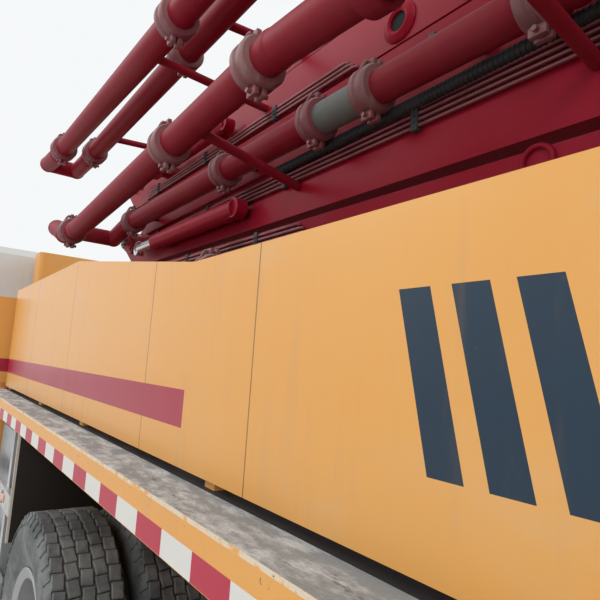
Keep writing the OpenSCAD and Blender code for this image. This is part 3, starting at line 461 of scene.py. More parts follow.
finishSettings = {
    "paints": {
        "arm": {"name": "boomPaint", "base": colours["crimson"], "faded": colours["crimsonDust"],
                "rough": 0.38, "dirt": 0.02, "coat": 0.0, "shine": 0.10},
        "pipe": {"name": "pipePaint", "base": colours["pipeRed"], "faded": colours["pipeBare"],
                 "rough": 0.46, "dirt": 0.05, "coat": 0.0, "shine": 0.10},
        "chassis": {"name": "chassisPaint", "base": (0.030, 0.030, 0.032), "faded": (0.06, 0.057, 0.054),
                    "rough": 0.5, "dirt": 0.5, "coat": 0.0},
        "hopper": {"name": "hopperPaint", "base": (0.20, 0.205, 0.21), "faded": (0.30, 0.29, 0.27),
                   "rough": 0.45, "dirt": 0.55, "coat": 0.05},
    },
    "metals": {  # name, colour, dark colour, roughness, grain
        "engine": ("castMetal", (0.26, 0.26, 0.27), (0.08, 0.07, 0.06), 0.55),
        "side_guards": ("guardAluminium", (0.66, 0.67, 0.68), (0.35, 0.34, 0.33), 0.38, (1, 24, 24)),
        "tanks": ("tankMetal", (0.52, 0.53, 0.54), (0.25, 0.24, 0.23), 0.40),
        "worn": ("wornSteel", (0.34, 0.32, 0.30), (0.14, 0.10, 0.08), 0.5),
        "rod": ("rodChrome", (0.72, 0.72, 0.74), (0.45, 0.44, 0.43), 0.16, (24, 1, 1)),
    },
    "cabPlastic": (0.045, 0.045, 0.05),
    "shared": {  # nodes that take another's finish
        "turret": "arm", "lift_barrel": "arm", "lift_rod": "rod", "jack": "rod",
        "glass": "window", "cab_glass": "window", "door": "cab_shell",
        "leg": "water_box", "knuckle": "chassis", "axles": "chassis", "chassis_frame": "chassis",
        "hopper_grate": "chassis", "mudguards": "chassis", "agitator": "worn", "pump_unit": "hopper",
    },
}


def makeFinishes(s):
    stripe, bars = bodyMarks(orangeSettings)
    seams = orangeSettings["panelSeams"]
    made = {
        "side_panels": orangeMetal(orangeSettings, "panelPaint", [stripe] + bars, seams),
        "water_box": orangeMetal(orangeSettings, "bodyPaint", [stripe]),
        "substructure": orangeMetal(orangeSettings, "framePaint", []),
        "deck": deckMetal(deckSettings),
        "wheel": rubber(rubberSettings),
        "window": windowGlass(plainSettings),
        "seats": wovenCloth(plainSettings),
        "cab_shell": cabMetal(cabSettings, "cabPaint", False),
        "bumper": cabMetal(cabSettings, "bumperPaint", True),
        "cab_interior": plasticSkin("cabPlastic", s["cabPlastic"]),
    }
    for key, look in s["paints"].items():
        made[key] = paint(**look).material
    for key, look in s["metals"].items():
        made[key] = bareMetal(*look)
    return made


def finishCadNodes(s):
    # a finish is found by the node's name, by the name without its last word, or by its first word
    shared = s["shared"]
    for name, piece in nodes.items():
        key = next(k for k in (name, name.rsplit("_", 1)[0], name.split("_")[0])
                   if k in finishes or k in shared)
        piece.data.materials.clear()
        piece.data.materials.append(finishes[shared.get(key, key)])


finishes = makeFinishes(finishSettings)
finishCadNodes(finishSettings)
print("finishes on", len(nodes), "nodes")


studioSettings = {
    "floorSize": 90.0,
    "floorColour": (0.80, 0.80, 0.79),
    "floorShade": 0.93,
    "floorClouds": (0.7, 4),
    "floorRough": 0.9,
    "skyColour": (0.92, 0.94, 0.95),
    "skyLight": 0.62,
    "lamps": [  # where, aimed at, size, watts
        ((-14, 16, 16), (-2, 0, 1.5), 12, 1900),
        ((12, 12, 14), (3, 0, 1.5), 12, 1300),
        ((-6, -16, 12), (0, 0, 1.5), 12, 1000),
    ],
}


def makeFloor(s):
    bpy.ops.mesh.primitive_plane_add(size=s["floorSize"])
    floor = bpy.context.object
    floor.name = "floor"
    ground = Finish("floorFinish", {"Roughness": s["floorRough"]})
    shade = tuple(c * s["floorShade"] for c in s["floorColour"])
    ground.set({"Base Color": ground.mix(ground.noise(*s["floorClouds"]), s["floorColour"], shade)})
    floor.data.materials.append(ground.material)


def makeSky(s):
    # full white where it is seen or mirrored, dimmer as light on the truck
    world = bpy.data.worlds.new("studio")
    world.use_nodes = True
    scene.world = world
    tree = world.node_tree
    seen = tree.nodes.new("ShaderNodeLightPath")
    shown = Wire(tree, seen.outputs["Is Camera Ray"])
    for kind in ("Is Glossy Ray", "Is Transmission Ray"):
        shown = shown.maths("MAXIMUM", shown, Wire(tree, seen.outputs[kind]))
    background = tree.nodes["Background"]
    background.inputs["Color"].default_value = (*s["skyColour"], 1)
    feed(tree, background.inputs["Strength"], shown * (1.0 - s["skyLight"]) + s["skyLight"])


def makeLamps(s):
    for i, (where, target, size, watts) in enumerate(s["lamps"]):
        lamp = bpy.data.lights.new("lamp" + str(i), "AREA")
        lamp.size = size
        lamp.energy = watts
        thing = bpy.data.objects.new("lamp" + str(i), lamp)
        thing.location = where
        thing.rotation_euler = (Vector(target) - Vector(where)).to_track_quat("-Z", "Y").to_euler()
        scene.collection.objects.link(thing)


makeFloor(studioSettings)
makeSky(studioSettings)
makeLamps(studioSettings)
print("studio ready")

mergeGap = 0.00001  # corners nearer than this become one


# shared ways of making pieces
def addBlock(bm, low, high, soften=0.0, rounds=2, where=Matrix.Identity(4)):
    middle = (Vector(low) + Vector(high)) / 2
    size = Vector(high) - Vector(low)
    shape = where @ Matrix.Translation(middle) @ Matrix.Diagonal((*(abs(v) for v in size), 1))
    made = bmesh.ops.create_cube(bm, size=1.0, matrix=shape)
    if soften:
        edges = list({e for v in made["verts"] for e in v.link_edges})
        bmesh.ops.bevel(bm, geom=edges, offset=soften, segments=rounds, profile=0.5, affect="EDGES",
                        material=-1)


def addBar(bm, start, end, radius, sides=16, endRadius=None):
    run = Vector(end) - Vector(start)
    shape = run.to_track_quat("Z", "Y").to_matrix().to_4x4()
    shape.translation = (Vector(start) + Vector(end)) / 2
    bmesh.ops.create_cone(bm, cap_ends=True, segments=sides, radius1=radius,
                          radius2=radius if endRadius is None else endRadius,
                          depth=run.length, matrix=shape)


def addPin(bm, station, height, start, end, radius, sides, endRadius=None):
    # a bar across the truck between two sides
    addBar(bm, spot(station, start, height), spot(station, end, height), radius, sides, endRadius)


def asMesh(bm, name):
    mesh = bpy.data.meshes.new(name)
    bm.to_mesh(mesh)
    bm.free()
    return mesh


def stampInto(bm, mesh, where):
    copy = mesh.copy()
    copy.transform(where)
    bm.from_mesh(copy)
    bpy.data.meshes.remove(copy)


def addRing(bm, outline, where, steps=48):
    # closed outline of (radius, along) points turned about the local Y axis
    ring = bmesh.new()
    rim = [ring.verts.new((0, along, radius)) for radius, along in outline]
    edges = [ring.edges.new(pair) for pair in zip(rim, rim[1:] + rim[:1])]
    bmesh.ops.spin(ring, geom=rim + edges, axis=(0, 1, 0), cent=(0, 0, 0), angle=math.tau,
                   steps=steps, use_merge=True, dvec=(0, 0, 0))
    bmesh.ops.remove_doubles(ring, verts=ring.verts, dist=mergeGap)
    bmesh.ops.recalc_face_normals(ring, faces=ring.faces)
    stampInto(bm, asMesh(ring, "ring"), where)


def outwardFrom(where, sign):
    # a frame at a place on the left side, or turned about the truck's axis for the right side
    return Matrix.Translation(where) @ Matrix.Rotation(0 if sign > 0 else math.pi, 4, "X")


def place(mesh, name, body, material, stands=(), sharp=35):
    mesh.materials.clear()
    mesh.materials.append(material)
    mesh.shade_smooth()
    mesh.set_sharp_from_angle(angle=math.radians(sharp))
    thing = bpy.data.objects.new(name, mesh)
    scene.collection.objects.link(thing)
    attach(thing, body)
    for node in stands:
        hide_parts(node)
    return thing


def settle(bm, name, body, material, stands=(), sharp=35):
    bmesh.ops.remove_doubles(bm, verts=bm.verts, dist=mergeGap)
    bmesh.ops.recalc_face_normals(bm, faces=bm.faces)
    return place(asMesh(bm, name), name, body, material, stands, sharp)


def makeTubes(name, routes, radius, body, material, sides=3):
    # round tubes or hoses along smooth routes, joined in one mesh
    curve = bpy.data.curves.new(name, "CURVE")
    curve.dimensions = "3D"
    curve.bevel_depth = radius
    curve.bevel_resolution = sides
    curve.resolution_u = 5
    curve.use_fill_caps = True
    for route in routes:
        line = curve.splines.new("NURBS")
        line.points.add(len(route) - 1)
        for point, corner in zip(line.points, route):
            point.co = (*corner, 1)
        line.order_u = 3
        line.use_endpoint_u = True
    form = bpy.data.objects.new(name + "Form", curve)
    scene.collection.objects.link(form)
    bpy.context.view_layer.update()
    mesh = bpy.data.meshes.new_from_object(form.evaluated_get(bpy.context.evaluated_depsgraph_get()))
    bpy.data.objects.remove(form)
    return place(mesh, name, body, material)


tyreSettings = {
    "outline": [  # one half, as radius and place along the axle
        (0.288, 0.100), (0.300, 0.112), (0.315, 0.118), (0.345, 0.131), (0.352, 0.134), (0.395, 0.1415),
        (0.430, 0.1420), (0.452, 0.1385), (0.470, 0.136), (0.490, 0.130), (0.501, 0.120), (0.5055, 0.100)],
    "steps": 100,
    "rows": [-0.100, -0.050, 0.0, 0.050, 0.100],
    "blocksRound": 50,
    "blockSize": (0.0605, 0.0435, 0.020),
    "blockSoften": 0.0035,
    "blockMiddle": 0.5088,
    "blockLean": 6,  # degrees, the other way in every second row
    "lugsRound": 50,
    "lugPlace": (0.1285, 0.488),  # along the axle, radius
    "lugLean": 62,
    "lugScale": (0.62, 0.95, 0.62),
    "twinOffset": 0.1675,
    "turnPerAxle": 0.37,  # so that no two tyres stand alike
    "turnPerTyre": 0.8,
    "turnLeft": 1.0,
    "rimPaint": {"base": (0.36, 0.36, 0.37), "faded": (0.28, 0.27, 0.26), "rough": 0.45, "dirt": 0.5,
                 "coat": 0.1},
    "rimSteps": 64,
    "nutRing": 0.142,
    "nutRadius": 0.017,
    "nutCount": 10,
    "nut": ((0.0, 0.026, 1.0, 6), (0.026, 0.044, 0.6, 10)),  # start, end, share of the radius, sides
    "single": {  # rims as offset, turn, place of the disc
        "rims": [(0.0, 0.0, 0.070)],
        "hub": [(0.0, -0.06), (0.0, 0.090), (0.110, 0.090), (0.118, 0.082), (0.118, -0.06)],
        "cap": [(0.0, 0.08), (0.0, 0.130), (0.062, 0.130), (0.075, 0.118), (0.075, 0.08)],
        "face": 0.052,  # where the nuts stand
    },
    "twin": {
        "rims": [(0.1675, math.pi, 0.120), (-0.1675, 0.0, 0.120)],
        "hub": [(0.0, -0.290), (0.0, 0.205), (0.118, 0.205), (0.118, -0.290)],
        "cap": [(0.0, 0.20), (0.0, 0.2275), (0.085, 0.2275), (0.104, 0.217), (0.104, 0.20)],
        "face": 0.074,
    },
}


def treadBlock(s):
    bm = bmesh.new()
    half = Vector(s["blockSize"]) / 2
    addBlock(bm, -half, half, s["blockSoften"], 1)
    return asMesh(bm, "treadBlock")


def tyreForm(s):
    # one tyre with its tread blocks and shoulder lugs, stamped into each wheel
    bm = bmesh.new()
    half = s["outline"]
    addRing(bm, half + [(r, -a) for r, a in reversed(half)], Matrix.Identity(4), s["steps"])
    block = treadBlock(s)
    for row, offset in enumerate(s["rows"]):
        odd = row % 2
        lean = Matrix.Rotation(math.radians(s["blockLean"] if odd else -s["blockLean"]), 4, "Z")
        for i in range(s["blocksRound"]):
            turn = Matrix.Rotation(math.tau * (i + 0.5 * odd) / s["blocksRound"], 4, "Y")
            stampInto(bm, block, turn @ Matrix.Translation((0, offset, s["blockMiddle"])) @ lean)
    along, radius = s["lugPlace"]
    shape = Matrix.Diagonal((*s["lugScale"], 1))
    for side in (-1, 1):
        lean = Matrix.Rotation(side * math.radians(-s["lugLean"]), 4, "X")
        for i in range(s["lugsRound"]):
            turn = Matrix.Rotation(math.tau * (i + 0.5) / s["lugsRound"], 4, "Y")
            stampInto(bm, block, turn @ Matrix.Translation((0, side * along, radius)) @ lean @ shape)
    return asMesh(bm, "tyreForm")


def rimOutline(disc):
    # the well between the flanges, the dished disc and its hub face, as the CAD wheel has them
    return [(0.060, disc - 0.044), (0.060, disc - 0.030), (0.120, disc - 0.030), (0.170, disc + 0.008),
            (0.255, disc + 0.008), (0.268, disc + 0.002), (0.268, 0.112), (0.302, 0.126), (0.308, 0.120),
            (0.300, 0.108), (0.284, 0.102), (0.278, 0.060), (0.272, -0.060), (0.284, -0.102),
            (0.300, -0.108), (0.308, -0.120), (0.302, -0.126), (0.266, -0.112), (0.262, disc - 0.012),
            (0.176, disc - 0.008), (0.126, disc - 0.044)]


def makeTyres(s, form, name, middle, axle, sign, twin):
    offsets = (-s["twinOffset"], s["twinOffset"]) if twin else (0.0,)
    bm = bmesh.new()
    for i, offset in enumerate(offsets):
        angle = s["turnPerAxle"] * axle + s["turnPerTyre"] * i + s["turnLeft"] * (sign > 0)
        where = Matrix.Translation((middle.x, middle.y + offset, middle.z))
        stampInto(bm, form, where @ Matrix.Rotation(angle, 4, "Y"))
    bmesh.ops.recalc_face_normals(bm, faces=bm.faces)
    place(asMesh(bm, "tyre_" + name), name.replace("wheel", "tyre"), name, finishes["wheel"], [name])


def makeRim(s, name, middle, rimPaint, sign, twin):
    parts = s["twin" if twin else "single"]
    outward = outwardFrom(middle, sign)
    bm = bmesh.new()
    for offset, turn, disc in parts["rims"]:
        where = outward @ Matrix.Translation((0, offset, 0)) @ Matrix.Rotation(turn, 4, "X")
        addRing(bm, rimOutline(disc), where, s["rimSteps"])
    addRing(bm, parts["hub"], outward)
    addRing(bm, parts["cap"], outward)
    for i in range(s["nutCount"]):
        angle = math.tau * (i + 0.5) / s["nutCount"]
        x, z = s["nutRing"] * math.cos(angle), s["nutRing"] * math.sin(angle)
        for start, end, share, sides in s["nut"]:
            addBar(bm, outward @ Vector((x, parts["face"] + start, z)),
                   outward @ Vector((x, parts["face"] + end, z)), s["nutRadius"] * share, sides)
    settle(bm, name.replace("wheel", "rim"), name, rimPaint)


def makeWheels(s):
    form = tyreForm(s)
    rimPaint = paint("rimPaint", **s["rimPaint"]).material
    for axle in (1, 2, 3, 4):
        for side, sign in (("left", 1), ("right", -1)):
            name = "wheel_%d_%s" % (axle, side)
            low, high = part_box(name)
            middle = (low + high) / 2
            twin = axle > 2
            makeTyres(s, form, name, middle, axle, sign, twin)
            makeRim(s, name, middle, rimPaint, sign, twin)


makeWheels(tyreSettings)
print("wheels ready")

# hydraulic tubes along the boom, in clips: body, side of the arm, first and last place as
# (station, height), number of tubes
tubeSettings = {
    "steel": {"base": (0.30, 0.10, 0.11), "dark": (0.16, 0.07, 0.06), "rough": 0.42, "grain": (24, 1, 1)},
    "clipColour": (0.03, 0.03, 0.032),
    "radius": 0.0095,
    "gap": 0.006,  # between the arm and a tube
    "pitch": 0.025,
    "ends": (0.05, 0.035),  # how far the first tube ends inside the run, and how much more each next one
    "bend": (0.06, 0.02),  # length and depth of the bend into the arm
    "clipPitch": 0.92,
    "clipRoom": (0.35, 0.3),  # from the run's start and to its end
    "clipHalf": (0.018, 0.020),  # along the arm, and past the outer tubes
    "clipDepth": (-0.004, 0.030),
    "clipSoften": 0.003,
    "stud": (0.028, 0.035, 0.0065),  # start, end, radius
    "runs": [
        ("arm_1", 0.240, (4.10, 2.333), (7.75, 2.328), 4),
        ("arm_2", 0.200, (5.20, 2.630), (10.90, 2.715), 4),
        ("arm_3", 0.170, (5.25, 2.935), (8.95, 2.975), 4),
        ("arm_4", 0.140, (4.95, 3.135), (7.90, 3.166), 3),
        ("arm_1", -0.240, (3.90, 2.240), (10.70, 2.220), 5),
        ("arm_2", -0.200, (5.20, 2.560), (10.90, 2.620), 4),
        ("arm_3", -0.170, (5.25, 2.850), (10.80, 2.930), 4),
        ("arm_4", -0.140, (4.95, 3.180), (10.75, 3.260), 3),
    ],
}


def tubeRoutes(s, side, sign, first, last, count):
    off = side + sign * (s["radius"] + s["gap"])
    bend, depth = s["bend"]
    inside = off - sign * depth
    routes = []
    for i in range(count):
        lift = i * s["pitch"]
        ends = s["ends"][0] + s["ends"][1] * i
        start, end = first[0] + ends, last[0] - ends
        low, high = first[1] + lift, last[1] + lift
        middle = ((first[0] + last[0]) / 2, (first[1] + last[1]) / 2 + lift)
        routes.append([spot(start, inside, low), spot(start, off, low), spot(start + bend, off, low),
                       spot(middle[0], off, middle[1]), spot(end - bend, off, high), spot(end, off, high),
                       spot(end, inside, high)])
    return routes


def addClip(bm, s, station, side, sign, height, count):
    low, high = sorted(side + sign * depth for depth in s["clipDepth"])
    half, past = s["clipHalf"]
    addBlock(bm, spot(station + half, low, height - past),
             spot(station - half, high, height + (count - 1) * s["pitch"] + past), s["clipSoften"])
    start, end, radius = s["stud"]
    for j in range(count - 1):
        z = height + (j + 0.5) * s["pitch"]
        addPin(bm, station, z, side + sign * start, side + sign * end, radius, 6)


def makeBoomTubes(s):
    steel = bareMetal("tubeSteel", **s["steel"])
    clips = plasticSkin("clipPlastic", s["clipColour"])
    roomBefore, roomAfter = s["clipRoom"]
    for number, (body, side, first, last, count) in enumerate(s["runs"]):
        sign = 1 if side > 0 else -1
        routes = tubeRoutes(s, side, sign, first, last, count)
        makeTubes("tubes_%d" % number, routes, s["radius"], body, steel)
        bm = bmesh.new()
        length = last[0] - first[0]
        for i in range(int(length / s["clipPitch"]) + 1):
            station = first[0] + roomBefore + i * s["clipPitch"]
            if station <= last[0] - roomAfter:
                height = first[1] + (last[1] - first[1]) * (station - first[0]) / length
                addClip(bm, s, station, side, sign, height, count)
        settle(bm, "clips_%d" % number, body, clips)


makeBoomTubes(tubeSettings)

# clamp couplings on the delivery pipes: body, side, and the points (station, height) between
# which the pipe runs straight, then the stations of its couplings
clampSettings = {
    "paint": {"base": (0.22, 0.055, 0.065), "faded": (0.24, 0.17, 0.15), "rough": 0.5, "dirt": 0.6,
              "coat": 0.05},
    "outline": [(0.069, -0.052), (0.094, -0.048), (0.101, -0.036), (0.101, -0.016), (0.094, -0.010),
                (0.094, 0.010), (0.101, 0.016), (0.101, 0.036), (0.094, 0.048), (0.069, 0.052)],
    "steps": 40,
    "radius": 0.094,
    "cheek": (0.017, 0.011, 0.030, 0.036),  # place beside the middle, half thickness, half length, height
    "cheekSoften": 0.004,
    "bolt": (0.045, 0.019, 0.010),  # half length, height, radius
    "handle": ((0.045, 0.0, 0.112), (0.085, -0.02, 0.020), 0.008),
    "pipes": [
        ("arm_1", 0.560, (3.90, 2.130), (10.90, 2.130), (4.30, 7.30, 10.60)),
        ("arm_2", 0.820, (8.20, 2.800), (11.20, 2.600), (9.60, 10.90)),
        ("arm_2", 0.820, (5.50, 2.630), (8.20, 2.800), (7.25, 8.08)),
        ("arm_2", 0.820, (5.05, 2.660), (5.50, 2.630), (5.30,)),
        ("arm_3", 0.330, (5.10, 2.840), (9.00, 2.840), (5.25, 6.90, 7.80, 8.17, 8.90)),
        ("arm_4", 0.900, (7.35, 3.300), (10.90, 3.320), (7.40, 9.00, 10.70)),
        ("arm_4", 0.900, (4.80, 3.400), (7.35, 3.300), (5.00,)),
        ("arm_5", 0.650, (4.80, 3.430), (10.60, 3.520), (5.00, 6.90, 8.80, 10.50)),
    ],
}


def addClamp(bm, s, where):
    # ring, with a bolted pair of cheeks above and below, and the closing handle
    addRing(bm, s["outline"], where, s["steps"])
    middle, thick, long, tall = s["cheek"]
    half, rise, radius = s["bolt"]
    for sign in (1, -1):
        foot = sign * s["radius"]
        for x in (-middle, middle):
            addBlock(bm, (x - thick, -long, foot), (x + thick, long, foot + sign * tall),
                     s["cheekSoften"], where=where)
        addBar(bm, where @ Vector((-half, 0, foot + sign * rise)),
               where @ Vector((half, 0, foot + sign * rise)), radius, 6)
    start, end, radius = s["handle"]
    addBar(bm, where @ Vector(start), where @ Vector(end), radius, 10)


def makeClamps(s):
    worn = paint("clampPaint", **s["paint"]).material
    for number, (body, side, first, last, stations) in enumerate(s["pipes"]):
        bm = bmesh.new()
        start, end = spot(first[0], side, first[1]), spot(last[0], side, last[1])
        turn = (end - start).normalized().to_track_quat("Y", "Z").to_matrix().to_4x4()
        for station in stations:
            middle = start + (end - start) * (station - first[0]) / (last[0] - first[0])
            addClamp(bm, s, Matrix.Translation(middle) @ turn)
        settle(bm, "clamps_%d" % number, body, worn)


makeClamps(clampSettings)

# the bare pipe piece between two couplings, the bosses on the arms' sides with their dark bores,
# and the lifting rings: places as (station, side, height)
bossSettings = {
    "barePipe": {"base": (0.145, 0.155, 0.140), "faded": (0.20, 0.185, 0.165), "rough": 0.55, "dirt": 0.5,
                 "coat": 0.0, "shine": 0.3},
    "shadow": {"base": (0.003, 0.003, 0.003), "rough": 0.85},
    "sleeve": ("arm_3", (7.985, 0.330, 2.840),
               [(0.066, -0.150), (0.0715, -0.150), (0.0715, 0.150), (0.066, 0.150)]),
    "bosses": ("arm_4", (8.12, 0.140, 3.262)),
    "boss": [(0.046, -0.006), (0.046, 0.014), (0.060, 0.020), (0.088, 0.013), (0.096, 0.004),
             (0.096, -0.006)],
    "bore": (0.050, -0.004, 0.004),  # radius, start, end
    "rings": ("arm_1", [(8.84, 0.240, 2.372), (5.60, 0.240, 2.372)]),
    "ring": (0.050, 0.009, 10, 40),  # radius, thickness, sides, steps
    "ringSink": 0.6,  # share of the thickness that a ring's middle stands off the arm
}


def makeSleeve(s):
    bare = paint("barePipe", **s["barePipe"]).material
    body, middle, outline = s["sleeve"]
    bm = bmesh.new()
    addRing(bm, outline, Matrix.Translation(spot(*middle)) @ Matrix.Rotation(math.pi / 2, 4, "Z"))
    settle(bm, "bare_pipe", body, bare)


def makeBosses(s):
    body, (station, side, height) = s["bosses"]
    radius, start, end = s["bore"]
    rims, bores = bmesh.new(), bmesh.new()
    for sign in (1, -1):
        outward = outwardFrom(spot(station, sign * side, height), sign)
        addRing(rims, s["boss"], outward)
        addBar(bores, outward @ Vector((0, start, 0)), outward @ Vector((0, end, 0)), radius, 32)
    shadow = plasticSkin("boreShadow", **s["shadow"])
    settle(rims, "arm_bosses", body, finishes["arm"])
    settle(bores, "arm_bores", body, shadow)


def makeRings(s):
    body, places = s["rings"]
    radius, thick, sides, steps = s["ring"]
    angles = [math.tau * i / sides for i in range(sides)]
    circle = [(radius + thick * math.cos(a), thick * math.sin(a)) for a in angles]
    bm = bmesh.new()
    for station, side, height in places:
        for sign in (1, -1):
            middle = spot(station, sign * (side + thick * s["ringSink"]), height)
            addRing(bm, circle, Matrix.Translation(middle), steps)
    settle(bm, "lifting_rings", body, finishes["arm"])


makeSleeve(bossSettings)
makeBosses(bossSettings)
makeRings(bossSettings)
print("boom tubes, clamps and bosses ready")


# seats as padded forms: low and high corners as (station, side, height), how far the top leans back,
# the axis of the seat's face, fill
seatSettings = {
    "sides": (("right", -0.90), ("left", 0.34)),
    "cells": 26,
    "corners": (0.16, 8),  # how far and how sharply the rim of the face drops
    "crown": (0.80, 4),  # share left at the rim, how flat the middle is
    "channels": (0.10, 0.05, 0.42, 0.1),  # depth, width, and the places across and along the seat
    "faceStart": 0.9,
    "roundEdges": (0.12, 4),
    "bulge": 0.02,
    "parts": {
        "cushion": ((1.66, 0.01, 1.4803), (1.12, 0.55, 1.615), 0.0, "z", 0.7),
        "back": ((1.70, 0.02, 1.622), (1.57, 0.54, 2.245), 0.15, "x", 0.65),
        "headrest": ((1.835, 0.15, 2.252), (1.755, 0.41, 2.428), 0.04, "x", 0.8),
    },
}


def paddedPoint(s, u, w, h):
    # a point of a cube moved onto the cushion's form: u along, w across, h out of the face
    drop, sharp = s["corners"]
    corner = (1 - drop * u ** sharp) * (1 - drop * w ** sharp)
    depth, width, across, along = s["channels"]
    seam = depth * (math.exp(-((abs(w) - across) / width) ** 2) + math.exp(-((u - along) / width) ** 2))
    rim, flat = s["crown"]
    crown = (rim + (1 - rim) * (1 - u ** flat) * (1 - w ** flat)) * (1 - seam * (h > s["faceStart"]))
    tuck, flat = s["roundEdges"]
    edge = 1 - tuck * h ** flat
    bulge = s["bulge"]
    return u * edge * (1 - bulge * (1 - w * w)), w * edge * (1 - bulge * (1 - u * u)), h * corner * crown


def makeSeats(s):
    for seat, side in s["sides"]:
        for part, (low, high, lean, face, fill) in s["parts"].items():
            bm = bmesh.new()
            bmesh.ops.create_cube(bm, size=2.0)
            bmesh.ops.subdivide_edges(bm, edges=bm.edges, cuts=s["cells"], use_grid_fill=True)
            first, last = spot(low[0], low[1] + side, low[2]), spot(high[0], high[1] + side, high[2])
            half = (last - first) / 2
            for v in bm.verts:
                u, w, h = paddedPoint(s, *(v.co if face == "z" else (v.co.z, v.co.y, v.co.x)))
                local = Vector((u, w, h)) if face == "z" else Vector((h, w, u))
                v.co = (first + last) / 2 + Vector([local[k] * abs(half[k]) for k in range(3)])
                v.co.x -= lean * (v.co.z - first.z) / (last.z - first.z)
            name = "seat_%s_%s" % (part, seat)
            cushion = settle(bm, name, "cab", finishes["seats"], ["seats"], 180)


makeSeats(seatSettings)

# rubber-wrapped hose along the side of the second arm, through places as (station, side, height)
hoseSettings = {
    "rubber": {"base": (0.022, 0.022, 0.024), "rough": 0.6, "grain": 160},
    "body": "arm_2",
    "radius": 0.024,
    "route": [(7.30, 0.235, 2.745), (7.70, 0.235, 2.752), (8.60, 0.232, 2.775),
              (9.50, 0.232, 2.800), (10.40, 0.232, 2.815), (10.95, 0.225, 2.825)],
    "wrapPitch": 0.020,
    "wrapRadius": 0.0035,
    "pointsPerTurn": 10,
}


def makeWrappedHose(s):
    black = plasticSkin("hoseRubber", **s["rubber"])
    route = [spot(*p) for p in s["route"]]
    makeTubes("hose_core", [route], s["radius"], s["body"], black, 4)
    points = s["pointsPerTurn"]
    wrap = []
    for first, last in zip(route, route[1:]):
        run = last - first
        steps = max(2, int(run.length / s["wrapPitch"] * points))
        for i in range(steps):
            angle = math.tau * i / points
            outward = Vector((0, math.cos(angle), math.sin(angle)))
            wrap.append(first + run * (i / steps) + outward * s["radius"])
    makeTubes("hose_wrap", [wrap], s["wrapRadius"], s["body"], black, 1)


makeWrappedHose(hoseSettings)

# hoses from the ends of the boom tubes to a swivel on the joint's pin: body, side of the boom, the
# lowest tube's end as (station, side, height), and the pin as (station, height, half its length)
swivelSettings = {
    "rubber": {"base": (0.020, 0.020, 0.022), "rough": 0.6, "grain": 160},
    "radius": 0.0105,
    "pitch": 0.025,
    "count": 3,
    "swivel": (0.014, 0.030, 0.098),  # start past the pin's end, radius, end
    "firstHose": 0.038,  # past the pin's end
    "union": (0.062, 0.0135),  # length, radius
    "tubeGap": 0.012,
    "overlap": 0.05,
    "lead": (0.03, 0.006),  # along, outward
    "turnOut": (0.16, -0.006),  # along from the tube, up
    "sag": (0.22, 0.006, -0.015),  # along to the pin, outward, up
    "arrive": 0.07,
    "joints": [
        ("arm_4", -1, (4.95, 0.140, 3.180), (4.35, 3.440, 0.162)),
        ("arm_3", -1, (5.25, 0.170, 2.850), (4.70, 2.775, 0.222)),
        ("arm_3", -1, (10.80, 0.170, 2.930), (11.35, 3.215, 0.192)),
        ("arm_2", -1, (10.90, 0.200, 2.620), (11.60, 2.445, 0.262)),
    ],
}


def swivelRoute(s, i, sign, toPin, tube, pin):
    # from inside the tube's end, outward past the pin's end, and back along the joint's axis
    start = Vector((tube[0], tube[1] + s["tubeGap"], tube[2] + i * s["pitch"]))
    outward = pin[2] + s["firstHose"] + i * s["pitch"]
    middle = (start.z + pin[1]) / 2
    along, aside = s["lead"]
    turnAlong, turnUp = s["turnOut"]
    sagAlong, sagOut, sagUp = s["sag"]
    points = [start - Vector((toPin * s["overlap"], 0, 0)),
              start + Vector((toPin * along, aside, 0)),
              Vector((tube[0] + toPin * turnAlong, outward, start.z + turnUp)),
              Vector((pin[0] - toPin * sagAlong, outward + sagOut, middle + sagUp)),
              Vector((pin[0] - toPin * s["arrive"], outward, pin[1])),
              Vector((pin[0], outward, pin[1]))]
    return [spot(p.x, sign * p.y, p.z) for p in points]


def makeSwivels(s):
    black = plasticSkin("swivelRubber", **s["rubber"])
    first, radius, last = s["swivel"]
    length, unionRadius = s["union"]
    for number, (body, sign, tube, pin) in enumerate(s["joints"]):
        toPin = 1 if pin[0] > tube[0] else -1
        routes = [swivelRoute(s, i, sign, toPin, tube, pin) for i in range(s["count"])]
        makeTubes("swivel_hoses_%d" % number, routes, s["radius"], body, black)
        bm = bmesh.new()
        addPin(bm, *pin[:2], sign * (pin[2] + first), sign * (pin[2] + last), radius, 24)
        for i in range(s["count"]):
            outward = sign * (pin[2] + s["firstHose"] + i * s["pitch"])
            addBar(bm, spot(pin[0], outward, pin[1]), spot(pin[0] - toPin * length, outward, pin[1]),
                   unionRadius, 6)
        settle(bm, "swivel_%d" % number, body, finishes["worn"])


makeSwivels(swivelSettings)
print("seats, hoses and swivels ready")

lampSettings = {
    "clear": (0.62, 0.64, 0.66),
    "red": (0.42, 0.012, 0.012),
    "amber": (0.75, 0.24, 0.02),
    "ribsPerMetre": 90,
    "ribShade": (0.35, 0.45),  # how much of a rib is darker, and how dark
    "ribRelief": (0.25, 0.0015),
    "rough": 0.08,
    "coatRough": 0.03,
    "mirror": {"base": (0.86, 0.88, 0.90), "dark": (0.7, 0.72, 0.74), "rough": 0.04},
    "trim": (0.03, 0.03, 0.032),
}


def lampGlass(s, name, tint):
    # coloured cover with upright ribs
    f = Finish(name, {"Roughness": s["rough"], "Coat Weight": 1.0, "Coat Roughness": s["coatRough"]})
    ribs = (f.axis("Y") * s["ribsPerMetre"]) % 1
    share, shade = s["ribShade"]
    f.set({"Base Color": f.mix(ribs * share, tint, tuple(c * shade for c in tint)),
           "Normal": f.bump(ribs, *s["ribRelief"])})
    return f.material


